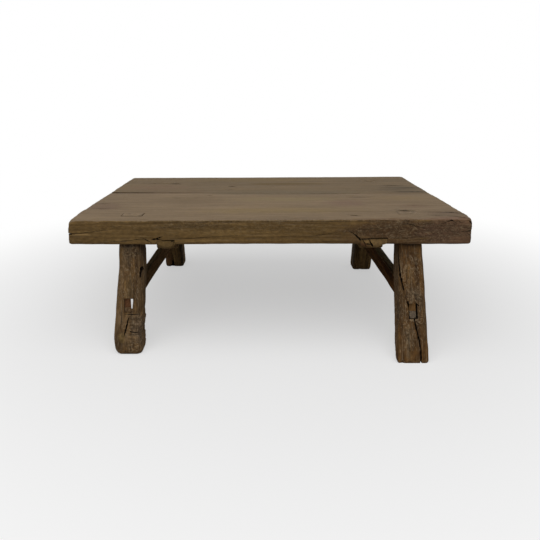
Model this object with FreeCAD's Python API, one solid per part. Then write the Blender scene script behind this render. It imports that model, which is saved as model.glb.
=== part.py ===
import FreeCAD, Part
import math
import os

# Low table for sitting at on a heated platform: a thick top of two boards on four splayed legs.
# Millimetres. The origin is on the floor under the middle of the top, +Z is up, +X is to the
# right and the front edge of the top faces -Y.

Vector = FreeCAD.Vector

# The top
top_length = 960.0
top_depth = 600.0
top_thickness = 60.0
table_height = 330.0
front_corner_round = 9.0
rear_corner_round = 14.0
upper_arris_round = 5.0
lower_arris_round = 7.0

# The seam between the two boards: it runs askew and has opened at the left end
seam_back_at_left = 38.0
seam_back_at_right = -3.0
seam_open_width = 3.0
seam_open_length = 330.0

# Round pins hidden in the seam
pin_diameter = 10.0
pin_length = 70.0
pin_place_shares = (-0.40, -0.12, 0.15, 0.40)

# Cross battens, slid into dovetail grooves from the rear edge
batten_neck_width = 42.0
batten_tongue_width = 50.0
batten_let_in = 10.0
batten_top_gap = 1.5
batten_bar_width = 58.0
batten_bar_drop = 19.0
batten_bar_round = 5.0
batten_nose_length = 28.0
left_batten_in = 234.0
left_nose_width = 40.0
left_nose_drop = 10.0
right_batten_in = 231.0
right_nose_width = 58.0
right_nose_drop = 7.0
nose_top_share = 0.9

# Legs: the middle of each foot and of each leg under the top, from the top's ends and edges
front_left_foot_in = 134.0
front_left_foot_out = -2.5
front_left_shoulder_in = 141.0
front_left_shoulder_back = 50.5
front_left_width = 70.0
front_left_depth = 68.0
front_left_round = 20.0

front_right_foot_in = 138.5
front_right_foot_out = 34.5
front_right_shoulder_in = 138.0
front_right_shoulder_back = 48.5
front_right_width = 66.0
front_right_depth = 68.0
front_right_round = 13.0

rear_left_foot_in = 138.0
rear_left_foot_out = 25.0
rear_left_shoulder_in = 142.5
rear_left_shoulder_back = 72.0
rear_left_width = 66.0
rear_left_depth = 72.0
rear_left_round = 16.0

rear_right_foot_in = 141.0
rear_right_foot_out = -14.0
rear_right_shoulder_in = 139.5
rear_right_shoulder_back = 68.0
rear_right_width = 66.0
rear_right_depth = 67.0
rear_right_round = 14.0

# Leg shapes. Each row is one level section: its height over the height of the underside of the
# top, then how far the outer side, the inner side, and the front and rear sides stand from the
# leg's middle line, over half the leg's width and half its depth.
front_left_shares = (
    (0.00, 0.90, 0.86, 0.78),
    (0.03, 0.98, 0.94, 0.91),
    (0.08, 1.05, 0.98, 1.00),
    (0.17, 1.06, 0.97, 1.02),
    (0.37, 0.99, 0.90, 0.98),
    (0.44, 0.97, 0.91, 0.97),
    (0.67, 0.84, 0.96, 0.95),
    (1.00, 0.82, 0.82, 0.92),
)
front_right_shares = (
    (0.00, 0.95, 0.92, 0.90),
    (0.02, 0.99, 0.98, 0.96),
    (0.05, 1.00, 1.00, 1.00),
    (0.16, 0.98, 0.97, 1.02),
    (0.45, 0.94, 0.97, 0.98),
    (0.75, 0.91, 0.96, 0.95),
    (1.00, 0.83, 0.82, 0.92),
)
rear_left_shares = (
    (0.00, 0.93, 0.90, 0.90),
    (0.03, 1.00, 0.95, 0.98),
    (0.10, 0.99, 0.99, 1.01),
    (0.35, 0.97, 1.01, 0.98),
    (0.70, 0.92, 0.95, 0.95),
    (1.00, 0.87, 0.87, 0.92),
)
rear_right_shares = (
    (0.00, 0.90, 0.92, 0.90),
    (0.02, 0.96, 0.96, 0.97),
    (0.07, 1.00, 0.99, 1.00),
    (0.35, 0.96, 0.94, 0.98),
    (0.70, 0.89, 0.88, 0.95),
    (1.00, 0.84, 0.84, 0.92),
)

# Tenons on the leg heads, which show in the top, and the thin wedge at each one's inner end
head_tenon_width = 50.0
head_tenon_depth = 27.0
front_left_tenon_shift = 0.5
front_right_tenon_shift = 1.5
rear_left_tenon_shift = -2.0
rear_right_tenon_shift = -1.0
head_wedge_thickness = 4.5
head_wedge_tip = 1.0
head_wedge_length = 45.0

# Stretchers, one between the two legs at each end of the table
left_stretcher_width = 18.5
left_stretcher_height = 38.5
left_stretcher_bottom = 105.5
left_stretcher_shift = 1.0
left_tenon_width = 14.5
left_tenon_height = 21.0
left_tenon_lift = 9.5
left_tenon_shift = 1.5
right_stretcher_width = 25.5
right_stretcher_height = 44.5
right_stretcher_bottom = 104.5
right_stretcher_shift = 1.0
right_tenon_width = 15.0
right_tenon_height = 16.5
right_tenon_lift = 10.5
right_tenon_shift = -3.0
stretcher_arris = 3.0

# Mortises for the stretchers: the room beside the tenon towards the table's end and its middle
front_left_outer_slack = 0.3
front_left_inner_slack = 7.0
front_right_outer_slack = 4.2
front_right_inner_slack = 2.8
rear_slack = 0.3

# Wedges driven under the stretcher tenons from outside
left_foot_wedge_thickness = 13.0
right_foot_wedge_thickness = 16.0
foot_wedge_tip = 4.0
foot_wedge_reach = 12.0
tenon_recess = 3.0
foot_wedge_recess = 1.5

# The worn slot that light passes through, beside and under the left stretcher's front tenon
slot_width = 7.5
slot_height = 27.0
slot_length = 110.0
slot_relief_height = 80.0
slot_relief_length = 52.0
slot_sideways_share = 0.294
slot_fall_share = 0.453

# The drying crack that has opened in the rear left foot
foot_crack_width = 9.0
foot_crack_depth = 26.0
foot_crack_height = 105.0
foot_crack_shift = 1.5
foot_crack_lean = 12.0

# Clearance round what is pushed into a hole, and how far a cutting shape runs past what it cuts
fit_gap = 0.2
overrun = 5.0

underside = table_height - top_thickness


class Leg:
    # One leg: where its middle line runs, and what its sections are.
    def __init__(self, name, side, end, foot, shoulder, size, corner, tenon_shift, shares):
        foot_in, foot_out = foot
        shoulder_in, shoulder_back = shoulder
        self.name = name
        self.side = side
        self.end = end
        self.width, self.depth = size
        self.corner = corner
        self.tenon_shift = tenon_shift
        self.shares = shares
        self.foot = Vector(side * (top_length / 2 - foot_in), end * (top_depth / 2 + foot_out), 0)
        self.shoulder = Vector(
            side * (top_length / 2 - shoulder_in),
            end * (top_depth / 2 - shoulder_back),
            underside,
        )

    def middle(self, level):
        # The point of the middle line at one height.
        return self.foot + (self.shoulder - self.foot) * (level / underside)

    def head_tenon(self, level, room):
        # The four corners of the head tenon at one height, with room added all round.
        centre = self.middle(level)
        centre_x = centre.x + self.side * self.tenon_shift
        half_width = head_tenon_width / 2 + room
        half_depth = head_tenon_depth / 2 + room
        return rectangle(
            centre_x - half_width,
            centre_x + half_width,
            centre.y - half_depth,
            centre.y + half_depth,
            level,
        )


class Stretcher:
    # One stretcher: its section, and the section of the tenon at each of its ends.
    def __init__(self, name, front_leg, rear_leg, section, place, tenon_section, tenon_place, wedge):
        self.name = name
        self.front_leg = front_leg
        self.rear_leg = rear_leg
        self.side = front_leg.side
        self.width, self.height = section
        self.bottom, shift = place
        self.tenon_width, self.tenon_height = tenon_section
        tenon_lift, tenon_shift = tenon_place
        self.wedge_thickness = wedge
        level = self.bottom + self.height / 2
        between = (front_leg.middle(level).x + rear_leg.middle(level).x) / 2
        self.x = between + self.side * shift
        self.tenon_x = self.x + self.side * tenon_shift
        self.tenon_bottom = self.bottom + tenon_lift

    def tenon_sides(self, outer_room, inner_room):
        # The left and right sides of the tenon, with room beside it.
        outer = self.tenon_x + self.side * (self.tenon_width / 2 + outer_room)
        inner = self.tenon_x - self.side * (self.tenon_width / 2 + inner_room)
        return min(outer, inner), max(outer, inner)


def rectangle(left, right, front, rear, level):
    return [
        Vector(left, front, level),
        Vector(right, front, level),
        Vector(right, rear, level),
        Vector(left, rear, level),
    ]


def flat_face(points):
    return Part.Face(Part.makePolygon(points + points[:1]))


def solid_of(faces):
    # The solid that a closed set of flat faces encloses.
    shell = Part.Shell(faces)
    shell.sewShape()
    solid = Part.Solid(shell)
    if solid.Volume < 0:
        solid.reverse()
    return solid


def solid_between(lower, upper):
    # A solid with flat faces from one four-sided outline to another.
    faces = [flat_face(lower), flat_face(upper)]
    for index in range(len(lower)):
        following = (index + 1) % len(lower)
        faces.append(flat_face([lower[index], lower[following], upper[following], upper[index]]))
    return solid_of(faces)


def block(left, right, front, rear, bottom, top):
    return Part.makeBox(right - left, rear - front, top - bottom, Vector(left, front, bottom))


def profile_along_depth(points, front, rear):
    # A profile in the XZ plane, carried from front to rear.
    outline = [Vector(x, front, z) for x, z in points]
    return flat_face(outline).extrude(Vector(0, rear - front, 0))


def rounded_section(left, right, front, rear, level, corner):
    # A level rectangle with round corners, as a closed wire that starts at the same corner.
    nip = corner * (1 - math.sqrt(0.5))
    bends = (
        ((left, front + corner), (left + nip, front + nip), (left + corner, front)),
        ((right - corner, front), (right - nip, front + nip), (right, front + corner)),
        ((right, rear - corner), (right - nip, rear - nip), (right - corner, rear)),
        ((left + corner, rear), (left + nip, rear - nip), (left, rear - corner)),
    )
    edges = []
    for index, bend in enumerate(bends):
        start, middle, finish = (Vector(x, y, level) for x, y in bend)
        following = Vector(*bends[(index + 1) % len(bends)][0], level)
        edges.append(Part.Arc(start, middle, finish).toShape())
        edges.append(Part.LineSegment(finish, following).toShape())
    return Part.Wire(edges)


def edges_at(solid, test):
    return [edge for edge in solid.Edges if test(edge)]


def stands_upright(edge):
    start, finish = edge.Vertexes[0].Point, edge.Vertexes[-1].Point
    return abs(start.x - finish.x) + abs(start.y - finish.y) < fit_gap


def lies_level(edge, level):
    return all(abs(vertex.Point.z - level) < fit_gap for vertex in edge.Vertexes)


def make_whole_top():
    half_length = top_length / 2
    half_depth = top_depth / 2
    top = block(-half_length, half_length, -half_depth, half_depth, underside, table_height)
    front_corners = edges_at(top, lambda edge: stands_upright(edge) and edge.CenterOfMass.y < 0)
    top = top.makeFillet(front_corner_round, front_corners)
    rear_corners = edges_at(
        top,
        lambda edge: stands_upright(edge) and edge.CenterOfMass.y > half_depth - overrun,
    )
    top = top.makeFillet(rear_corner_round, rear_corners)
    top = top.makeFillet(upper_arris_round, edges_at(top, lambda edge: lies_level(edge, table_height)))
    return top.makeFillet(lower_arris_round, edges_at(top, lambda edge: lies_level(edge, underside)))


def seam_y(x):
    # Where the seam lies along the top.
    share = x / top_length + 0.5
    return seam_back_at_left + (seam_back_at_right - seam_back_at_left) * share


def board_region(front, open_seam):
    # All the space in front of the seam, or behind it.
    left = -top_length / 2 - overrun
    right = top_length / 2 + overrun
    low = underside - overrun
    high = table_height + overrun
    if not front:
        far = top_depth / 2 + overrun
        outline = [(left, seam_y(left)), (right, seam_y(right)), (right, far), (left, far)]
    else:
        far = -top_depth / 2 - overrun
        opening_end = left + overrun + open_seam
        outline = [
            (left, far),
            (right, far),
            (right, seam_y(right)),
            (opening_end, seam_y(opening_end)),
            (left, seam_y(left) - seam_open_width),
        ]
    face = flat_face([Vector(x, y, low) for x, y in outline])
    return face.extrude(Vector(0, 0, high - low))


def make_pins(room):
    pins = []
    for share in pin_place_shares:
        x = share * top_length
        start = Vector(x, seam_y(x) - pin_length / 2 - room, table_height - top_thickness / 2)
        radius = pin_diameter / 2 + room
        pins.append(Part.makeCylinder(radius, pin_length + 2 * room, start, Vector(0, 1, 0)))
    return pins


def batten_tongue(x, room, top_room):
    # The dovetail tongue, from behind the nose to the rear edge of the top.
    flare_share = (batten_tongue_width - batten_neck_width) / 2 / batten_let_in
    neck = batten_neck_width / 2 + room
    tongue = neck + flare_share * (batten_let_in + top_room)
    crown = underside + batten_let_in + top_room
    front = -top_depth / 2 + batten_nose_length - room
    profile = [(x - neck, underside), (x + neck, underside), (x + tongue, crown), (x - tongue, crown)]
    return profile_along_depth(profile, front, top_depth / 2 + top_room)


def batten_nose(x, width, drop, room, top_room):
    # The batten's front end, cut down to a rounded nose that shows in the front edge.
    half = width / 2 + room
    top_half = half * nose_top_share
    crown = underside + batten_let_in + top_room
    front = -top_depth / 2 - top_room
    corners = [
        Vector(x + half, front, underside),
        Vector(x + top_half, front, crown),
        Vector(x - top_half, front, crown),
        Vector(x - half, front, underside),
    ]
    edges = [Part.LineSegment(first, second).toShape() for first, second in zip(corners, corners[1:])]
    lowest = Vector(x, front, underside - drop)
    edges.append(Part.Arc(corners[-1], lowest, corners[0]).toShape())
    length = batten_nose_length + top_room
    return Part.Face(Part.Wire(edges)).extrude(Vector(0, length, 0))


def make_batten(x, nose_width, nose_drop):
    half = batten_bar_width / 2
    front = -top_depth / 2 + batten_nose_length
    low = underside - batten_bar_drop
    bar = block(x - half, x + half, front, top_depth / 2, low, underside)
    bar = bar.makeFillet(batten_bar_round, edges_at(bar, lambda edge: lies_level(edge, low)))
    tongue = batten_tongue(x, 0, 0)
    nose = batten_nose(x, nose_width, nose_drop, 0, 0)
    return bar.fuse([tongue, nose]).removeSplitter()


def batten_groove(x, nose_width, nose_drop):
    tongue = batten_tongue(x, fit_gap, batten_top_gap)
    nose = batten_nose(x, nose_width, nose_drop, fit_gap, batten_top_gap)
    return tongue.fuse(nose)


def make_leg_blank(leg):
    # The leg from the floor to the underside of the top, before anything is cut in it.
    sections = []
    for height_share, outer_share, inner_share, depth_share in leg.shares:
        level = height_share * underside
        middle = leg.middle(level)
        outer = middle.x + leg.side * outer_share * leg.width / 2
        inner = middle.x - leg.side * inner_share * leg.width / 2
        half_depth = depth_share * leg.depth / 2
        sections.append(
            rounded_section(
                min(outer, inner),
                max(outer, inner),
                middle.y - half_depth,
                middle.y + half_depth,
                level,
                leg.corner,
            )
        )
    return Part.makeLoft(sections, True, True)


def head_wedge(leg):
    # The thin wedge driven from above between the tenon's inner end and the mortise.
    outlines = []
    levels = (table_height - head_wedge_length, table_height)
    for level, thickness in zip(levels, (head_wedge_tip, head_wedge_thickness)):
        corners = leg.head_tenon(level, 0)
        front, rear = corners[0].y, corners[2].y
        inner = corners[0].x if leg.side > 0 else corners[1].x
        outer = inner + leg.side * thickness
        outlines.append(rectangle(min(inner, outer), max(inner, outer), front, rear, level))
    return solid_between(*outlines)


def head_mortise(leg):
    low = underside - overrun
    high = table_height + overrun
    return solid_between(leg.head_tenon(low, fit_gap), leg.head_tenon(high, fit_gap))


def stretcher_tenon(stretcher, leg, outer_room, inner_room, top_room):
    # The tenon's space in one leg, running out past both faces of the leg.
    left, right = stretcher.tenon_sides(outer_room, inner_room)
    bottom = stretcher.tenon_bottom
    top = bottom + stretcher.tenon_height + top_room
    middle = leg.middle(bottom)
    return block(left, right, middle.y - leg.depth, middle.y + leg.depth, bottom, top)


def foot_wedge(stretcher, leg, outer_room, inner_room):
    # The space of the wedge under the tenon: thin inside the leg, thick past its outer face.
    left, right = stretcher.tenon_sides(outer_room, inner_room)
    top = stretcher.tenon_bottom
    middle = leg.middle(top)
    thin_y = middle.y - leg.end * foot_wedge_reach
    face_y = middle.y + leg.end * leg.depth / 2
    past_y = face_y + leg.end * leg.depth / 2
    slope = (stretcher.wedge_thickness - foot_wedge_tip) / abs(face_y - thin_y)
    past_thickness = stretcher.wedge_thickness + slope * abs(past_y - face_y)
    outline = [
        Vector(left, thin_y, top),
        Vector(left, thin_y, top - foot_wedge_tip),
        Vector(left, past_y, top - past_thickness),
        Vector(left, past_y, top),
    ]
    return flat_face(outline).extrude(Vector(right - left, 0, 0))


def slanted_slot(stretcher, leg, inner_reach, height, length):
    # A slot that starts beside the tenon at the leg's outer face and runs inwards, sideways
    # towards the end of the table and down.
    start_x = stretcher.tenon_x - stretcher.side * stretcher.tenon_width / 2
    top = stretcher.tenon_bottom + stretcher.tenon_height
    face_y = leg.middle(top).y + leg.end * leg.depth / 2
    inner_x = start_x - stretcher.side * inner_reach
    left, right = min(start_x, inner_x), max(start_x, inner_x)
    run = Vector(stretcher.side * slot_sideways_share, -leg.end, -slot_fall_share)
    bottom = top - height
    outline = [
        Vector(left, face_y, bottom),
        Vector(right, face_y, bottom),
        Vector(right, face_y, top),
        Vector(left, face_y, top),
    ]
    before = flat_face([point - run * overrun for point in outline])
    return before.extrude(run * (length + overrun))


def foot_crack(leg):
    # A wedge-shaped crack that opens downwards in the front of the foot.
    centre = leg.foot
    face_y = centre.y - leg.depth / 2
    rear_y = face_y + foot_crack_depth
    x = centre.x + leg.side * foot_crack_shift
    half = foot_crack_width / 2
    mouth = [
        Vector(x - half, face_y - leg.depth, -overrun),
        Vector(x + half, face_y - leg.depth, -overrun),
        Vector(x, rear_y, -overrun),
    ]
    peak = Vector(x + leg.side * foot_crack_lean, face_y - leg.depth, foot_crack_height)
    faces = [flat_face(mouth)]
    for index in range(len(mouth)):
        faces.append(flat_face([mouth[index], mouth[(index + 1) % len(mouth)], peak]))
    return solid_of(faces)


def make_leg(leg, blank, cuts):
    tenon = solid_between(leg.head_tenon(underside, 0), leg.head_tenon(table_height, 0))
    tenon = tenon.cut(head_wedge(leg))
    return blank.fuse(tenon).removeSplitter().cut(cuts)


def make_stretcher(stretcher, blanks):
    # The rail between the legs, its shoulders scribed to them, with a tenon through each leg.
    level = stretcher.bottom + stretcher.height / 2
    half = stretcher.width / 2
    rail = block(
        stretcher.x - half,
        stretcher.x + half,
        stretcher.front_leg.middle(level).y,
        stretcher.rear_leg.middle(level).y,
        stretcher.bottom,
        stretcher.bottom + stretcher.height,
    )
    long_edges = edges_at(rail, lambda edge: edge.Length > stretcher.front_leg.depth)
    rail = rail.makeChamfer(stretcher_arris, long_edges)
    rail = rail.cut([blanks[stretcher.front_leg.name], blanks[stretcher.rear_leg.name]])
    tenons = []
    for leg in (stretcher.front_leg, stretcher.rear_leg):
        recessed = blanks[leg.name].translated(Vector(0, -leg.end * tenon_recess, 0))
        tenons.append(stretcher_tenon(stretcher, leg, 0, 0, 0).common(recessed))
    return rail.fuse(tenons).removeSplitter()


def make_foot_wedge(stretcher, leg, blanks):
    recessed = blanks[leg.name].translated(Vector(0, -leg.end * foot_wedge_recess, 0))
    return foot_wedge(stretcher, leg, 0, 0).common(recessed)


def save(name, shape):
    shape.exportStep(os.path.join("parts", name + ".step"))
    print(name, "solids", len(shape.Solids), "volume", round(shape.Volume), "valid", shape.isValid())


front_left = Leg(
    "front_left", -1, -1,
    (front_left_foot_in, front_left_foot_out),
    (front_left_shoulder_in, front_left_shoulder_back),
    (front_left_width, front_left_depth),
    front_left_round, front_left_tenon_shift, front_left_shares,
)
front_right = Leg(
    "front_right", 1, -1,
    (front_right_foot_in, front_right_foot_out),
    (front_right_shoulder_in, front_right_shoulder_back),
    (front_right_width, front_right_depth),
    front_right_round, front_right_tenon_shift, front_right_shares,
)
rear_left = Leg(
    "rear_left", -1, 1,
    (rear_left_foot_in, rear_left_foot_out),
    (rear_left_shoulder_in, rear_left_shoulder_back),
    (rear_left_width, rear_left_depth),
    rear_left_round, rear_left_tenon_shift, rear_left_shares,
)
rear_right = Leg(
    "rear_right", 1, 1,
    (rear_right_foot_in, rear_right_foot_out),
    (rear_right_shoulder_in, rear_right_shoulder_back),
    (rear_right_width, rear_right_depth),
    rear_right_round, rear_right_tenon_shift, rear_right_shares,
)
legs = (front_left, front_right, rear_left, rear_right)

left_stretcher = Stretcher(
    "left", front_left, rear_left,
    (left_stretcher_width, left_stretcher_height),
    (left_stretcher_bottom, left_stretcher_shift),
    (left_tenon_width, left_tenon_height),
    (left_tenon_lift, left_tenon_shift),
    left_foot_wedge_thickness,
)
right_stretcher = Stretcher(
    "right", front_right, rear_right,
    (right_stretcher_width, right_stretcher_height),
    (right_stretcher_bottom, right_stretcher_shift),
    (right_tenon_width, right_tenon_height),
    (right_tenon_lift, right_tenon_shift),
    right_foot_wedge_thickness,
)
slacks = {
    "front_left": (front_left_outer_slack, front_left_inner_slack),
    "front_right": (front_right_outer_slack, front_right_inner_slack),
    "rear_left": (rear_slack, rear_slack),
    "rear_right": (rear_slack, rear_slack),
}
battens = {
    "left": (left_batten_in - top_length / 2, left_nose_width, left_nose_drop),
    "right": (top_length / 2 - right_batten_in, right_nose_width, right_nose_drop),
}


def main():
    os.makedirs("parts", exist_ok=True)

    whole_top = make_whole_top()
    top_cuts = [head_mortise(leg) for leg in legs]
    top_cuts += [batten_groove(*batten) for batten in battens.values()]
    top_cuts += make_pins(fit_gap)
    for name, is_front in (("front_board", True), ("rear_board", False)):
        board = whole_top.common(board_region(is_front, seam_open_length))
        save(name, board.cut(top_cuts))
    save("seam_pins", Part.makeCompound(make_pins(0)))
    for name, batten in battens.items():
        save("batten_" + name, make_batten(*batten))

    blanks = {leg.name: make_leg_blank(leg) for leg in legs}
    relief = slanted_slot(
        left_stretcher, front_left, left_stretcher.width, slot_relief_height, slot_relief_length
    )
    slot = slanted_slot(left_stretcher, front_left, slot_width, slot_height, slot_length)
    for stretcher in (left_stretcher, right_stretcher):
        rail = make_stretcher(stretcher, blanks)
        if stretcher is left_stretcher:
            rail = rail.cut(relief)
        save("stretcher_" + stretcher.name, rail)
        for leg in (stretcher.front_leg, stretcher.rear_leg):
            outer_slack, inner_slack = slacks[leg.name]
            cuts = [
                stretcher_tenon(stretcher, leg, outer_slack, inner_slack, fit_gap),
                foot_wedge(stretcher, leg, outer_slack, inner_slack),
            ]
            wedge = make_foot_wedge(stretcher, leg, blanks)
            if leg is front_left:
                cuts.append(slot)
                wedge = wedge.cut(relief)
            if leg is rear_left:
                cuts.append(foot_crack(leg))
            save("leg_" + leg.name, make_leg(leg, blanks[leg.name], cuts))
            save("head_wedge_" + leg.name, head_wedge(leg))
            save("tenon_wedge_" + leg.name, wedge)


main()
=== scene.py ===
import math

import bmesh
import bpy
from mathutils import Matrix, Vector, noise
from mathutils.bvhtree import BVHTree


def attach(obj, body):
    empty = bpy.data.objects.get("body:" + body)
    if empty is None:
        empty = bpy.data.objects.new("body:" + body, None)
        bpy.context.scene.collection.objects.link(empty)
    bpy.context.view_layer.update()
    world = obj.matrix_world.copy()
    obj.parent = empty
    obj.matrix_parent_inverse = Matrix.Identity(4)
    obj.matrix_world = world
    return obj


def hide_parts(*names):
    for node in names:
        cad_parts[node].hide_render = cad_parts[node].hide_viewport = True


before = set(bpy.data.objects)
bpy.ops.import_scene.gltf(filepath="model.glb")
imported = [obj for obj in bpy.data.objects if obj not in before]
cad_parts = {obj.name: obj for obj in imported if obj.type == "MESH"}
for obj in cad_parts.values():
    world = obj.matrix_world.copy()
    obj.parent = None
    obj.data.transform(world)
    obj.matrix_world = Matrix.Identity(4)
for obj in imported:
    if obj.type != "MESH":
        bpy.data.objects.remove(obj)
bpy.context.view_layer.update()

mm = 0.001
zero = (0.0, 0.0, 0.0)


# small helpers for shapes, all in millimetres

def soft(low, high, value):
    share = min(max((value - low) / (high - low), 0.0), 1.0)
    return share * share * (3 - 2 * share)


def readTable(rows, place, column=1):
    # rows of (place, value, ...): the value between two rows follows a straight line
    if place <= rows[0][0]:
        return rows[0][column]
    for before, after in zip(rows, rows[1:]):
        if place <= after[0]:
            share = (place - before[0]) / (after[0] - before[0])
            return before[column] + (after[column] - before[column]) * share
    return rows[-1][column]


def lumps(place, size, seed):
    # smooth noise whose lumps are as long as size says in x, y and z
    return noise.noise(Vector((place[0] / size[0] + seed, place[1] / size[1] - seed, place[2] / size[2])))


def gridBlock(low, high, counts, crowding=zero):
    # a box with even rows of faces, closer together near its edges where crowding says so
    shape = bmesh.new()
    bmesh.ops.create_cube(shape, size=1)
    size = [high[axis] - low[axis] for axis in range(3)]
    centre = [(high[axis] + low[axis]) / 2 for axis in range(3)]
    for axis in range(3):
        runs = [edge for edge in shape.edges if abs((edge.verts[0].co - edge.verts[1].co)[axis]) > 0.5]
        bmesh.ops.subdivide_edges(shape, edges=runs, cuts=counts[axis] - 1, use_grid_fill=True)
    for vert in shape.verts:
        for axis in range(3):
            share = vert.co[axis]
            share += crowding[axis] * math.sin(2 * math.pi * share) / (2 * math.pi)
            vert.co[axis] = centre[axis] + size[axis] * share
    return shape


def roundPlan(x, y, low, high, radius):
    # a point of a rectangle, moved so that the rectangle's corners are round
    middleX, middleY = (low[0] + high[0]) / 2, (low[1] + high[1]) / 2
    innerX, innerY = (high[0] - low[0]) / 2 - radius, (high[1] - low[1]) / 2 - radius
    overX, overY = abs(x - middleX) - innerX, abs(y - middleY) - innerY
    if overX <= 0 and overY <= 0:
        return x, y, (0.0, 0.0), 0.0
    overX, overY = max(overX, 0.0), max(overY, 0.0)
    level = max(overX, overY)
    length = math.hypot(overX, overY)
    way = (math.copysign(overX / length, x - middleX), math.copysign(overY / length, y - middleY))
    keptX = middleX + math.copysign(min(abs(x - middleX), innerX), x - middleX)
    keptY = middleY + math.copysign(min(abs(y - middleY), innerY), y - middleY)
    return keptX + way[0] * level, keptY + way[1] * level, way, level


def roundArris(place, way, level, radius, arris, lowZ, highZ):
    # the same for the edge between a side and the upper or lower face
    inward = radius - level
    nearUpper = place.z > (lowZ + highZ) / 2
    toFace = highZ - place.z if nearUpper else place.z - lowZ
    overSide, overFace = arris - inward, arris - toFace
    if overSide <= 0 or overFace <= 0:
        return
    shrink = max(overSide, overFace) / math.hypot(overSide, overFace)
    place.x -= way[0] * overSide * (1 - shrink)
    place.y -= way[1] * overSide * (1 - shrink)
    newFace = arris - overFace * shrink
    place.z = highZ - newFace if nearUpper else lowZ + newFace


def pushOut(shape, amount):
    # moves every point along its normal, by what amount(place, normal) gives
    shape.normal_update()
    moves = [(vert, vert.normal * amount(vert.co, vert.normal)) for vert in shape.verts]
    for vert, move in moves:
        vert.co += move


# two stand-in materials that keep the faces of a cut apart from the timber's own
outsideMark = bpy.data.materials.new("outsideMark")
insideMark = bpy.data.materials.new("insideMark")


def heldObject(shape, name):
    mesh = bpy.data.meshes.new(name)
    for material in (outsideMark, insideMark):
        mesh.materials.append(material)
    shape.to_mesh(mesh)
    piece = bpy.data.objects.new(name, mesh)
    bpy.context.scene.collection.objects.link(piece)
    return piece


def carve(shape, tool, operation="DIFFERENCE"):
    # cuts the tool's shape out of the shape, or joins the two
    body, blade = heldObject(shape, "carved"), heldObject(tool, "carver")
    step = body.modifiers.new("carve", "BOOLEAN")
    step.operation, step.solver, step.object = operation, "MANIFOLD", blade
    shaped = bpy.data.meshes.new_from_object(body.evaluated_get(bpy.context.evaluated_depsgraph_get()))
    shape.clear()
    shape.from_mesh(shaped)
    for piece in (body, blade):
        mesh = piece.data
        bpy.data.objects.remove(piece)
        bpy.data.meshes.remove(mesh)
    bpy.data.meshes.remove(shaped)
    tool.free()


def darkInside(shape):
    # a cutter's faces leave the second material, the painted shade of cracks, in what it cuts
    for face in shape.faces:
        face.material_index = 1
    return shape


def addTo(shape, other):
    # puts a second shape into the same bmesh, unjoined
    mesh = bpy.data.meshes.new("passing")
    other.to_mesh(mesh)
    shape.from_mesh(mesh)
    bpy.data.meshes.remove(mesh)
    other.free()


def surfaceOf(shape):
    shape.normal_update()
    return BVHTree.FromBMesh(shape)


def followSurface(surface, path):
    # even steps along a path of (x, y, z, width), each brought onto the surface, with the way out of it
    spacing = 2.2
    corners = [Vector(row[:3]) for row in path]
    lengths = [(after - before).length for before, after in zip(corners, corners[1:])]
    steps = max(int(sum(lengths) / spacing), 6)
    rows = []
    for step in range(steps + 1):
        reach, part = sum(lengths) * step / steps, 0
        while part < len(lengths) - 1 and reach > lengths[part]:
            reach -= lengths[part]
            part += 1
        share = min(reach / lengths[part], 1.0)
        place, outward = surface.find_nearest(corners[part].lerp(corners[part + 1], share))[:2]
        rows.append((place, outward, path[part][3] + (path[part + 1][3] - path[part][3]) * share))
    evened = []
    for index, (place, outward, width) in enumerate(rows):
        near = rows[max(index - 3, 0):index + 4]
        evened.append((place, sum((row[1] for row in near), Vector()).normalized(), width))
    # a path that starts or ends wide runs on past its end
    overrun, wide = 5, 0.5
    first, last = evened[0], evened[-1]
    if first[2] > wide:
        evened.insert(0, (first[0] + (first[0] - evened[1][0]).normalized() * overrun, *first[1:]))
    if last[2] > wide:
        evened.append((last[0] + (last[0] - evened[-2][0]).normalized() * overrun, *last[1:]))
    return evened


def crackBlade(surface, path, depth, seed):
    # a thin wedge along a path of (x, y, z, width) on a surface; cut out of a timber it leaves a crack
    rows = followSurface(surface, path)
    last = len(rows) - 1
    widest = max(row[2] for row in rows)
    blade = gridBlock((-0.5, -0.5, -0.5), (0.5, 0.5, 0.5), (last, 1, 1))
    for vert in blade.verts:
        index = round((vert.co.x + 0.5) * last)
        place, outward, width = rows[index]
        along = rows[min(index + 1, last)][0] - rows[max(index - 1, 0)][0]
        across = outward.cross(along).normalized()
        sway = lumps(place, (9, 9, 9), seed) + 0.4 * lumps(place, (3.5, 3.5, 3.5), seed + 2)
        half = max(width * (0.85 + 0.6 * lumps(place, (5, 5, 5), seed + 4)), 0.12) / 2
        # the wedge stands out of the surface, and is narrower at its lower end
        upper = vert.co.z > 0
        rise = 2.5 if upper else -max(depth * math.sqrt(max(width, 0.0) / widest), 0.5)
        side = math.copysign(half * (1.0 if upper else 0.5), vert.co.y)
        vert.co = place + across * (side + 0.7 * sway) + outward * rise
    if blade.calc_volume(signed=True) < 0:
        bmesh.ops.reverse_faces(blade, faces=blade.faces)
    return darkInside(blade)


def boxOf(shape):
    places = [vert.co for vert in shape.verts]
    return [[end(place[axis] for place in places) for axis in range(3)] for end in (min, max)]


def apart(first, second):
    return any(first[0][axis] > second[1][axis] or second[0][axis] > first[1][axis] for axis in range(3))


def crack(shape, rows, seed):
    # each row is a path and a depth; cracks that lie apart from each other are cut in one go
    surface = surfaceOf(shape)
    sets = []
    for index, (path, depth) in enumerate(rows):
        blade = crackBlade(surface, path, depth, seed + 1.7 * index)
        box = boxOf(blade)
        room = next((one for one in sets if all(apart(box, other) for other in one["boxes"])), None)
        if room:
            room["boxes"].append(box)
            addTo(room["blades"], blade)
        else:
            sets.append({"boxes": [box], "blades": blade})
    for one in sets:
        carve(shape, one["blades"])


def nearPath(place, corners):
    return min((place - nearest(place, start, end)).length for start, end in zip(corners, corners[1:]))


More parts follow.
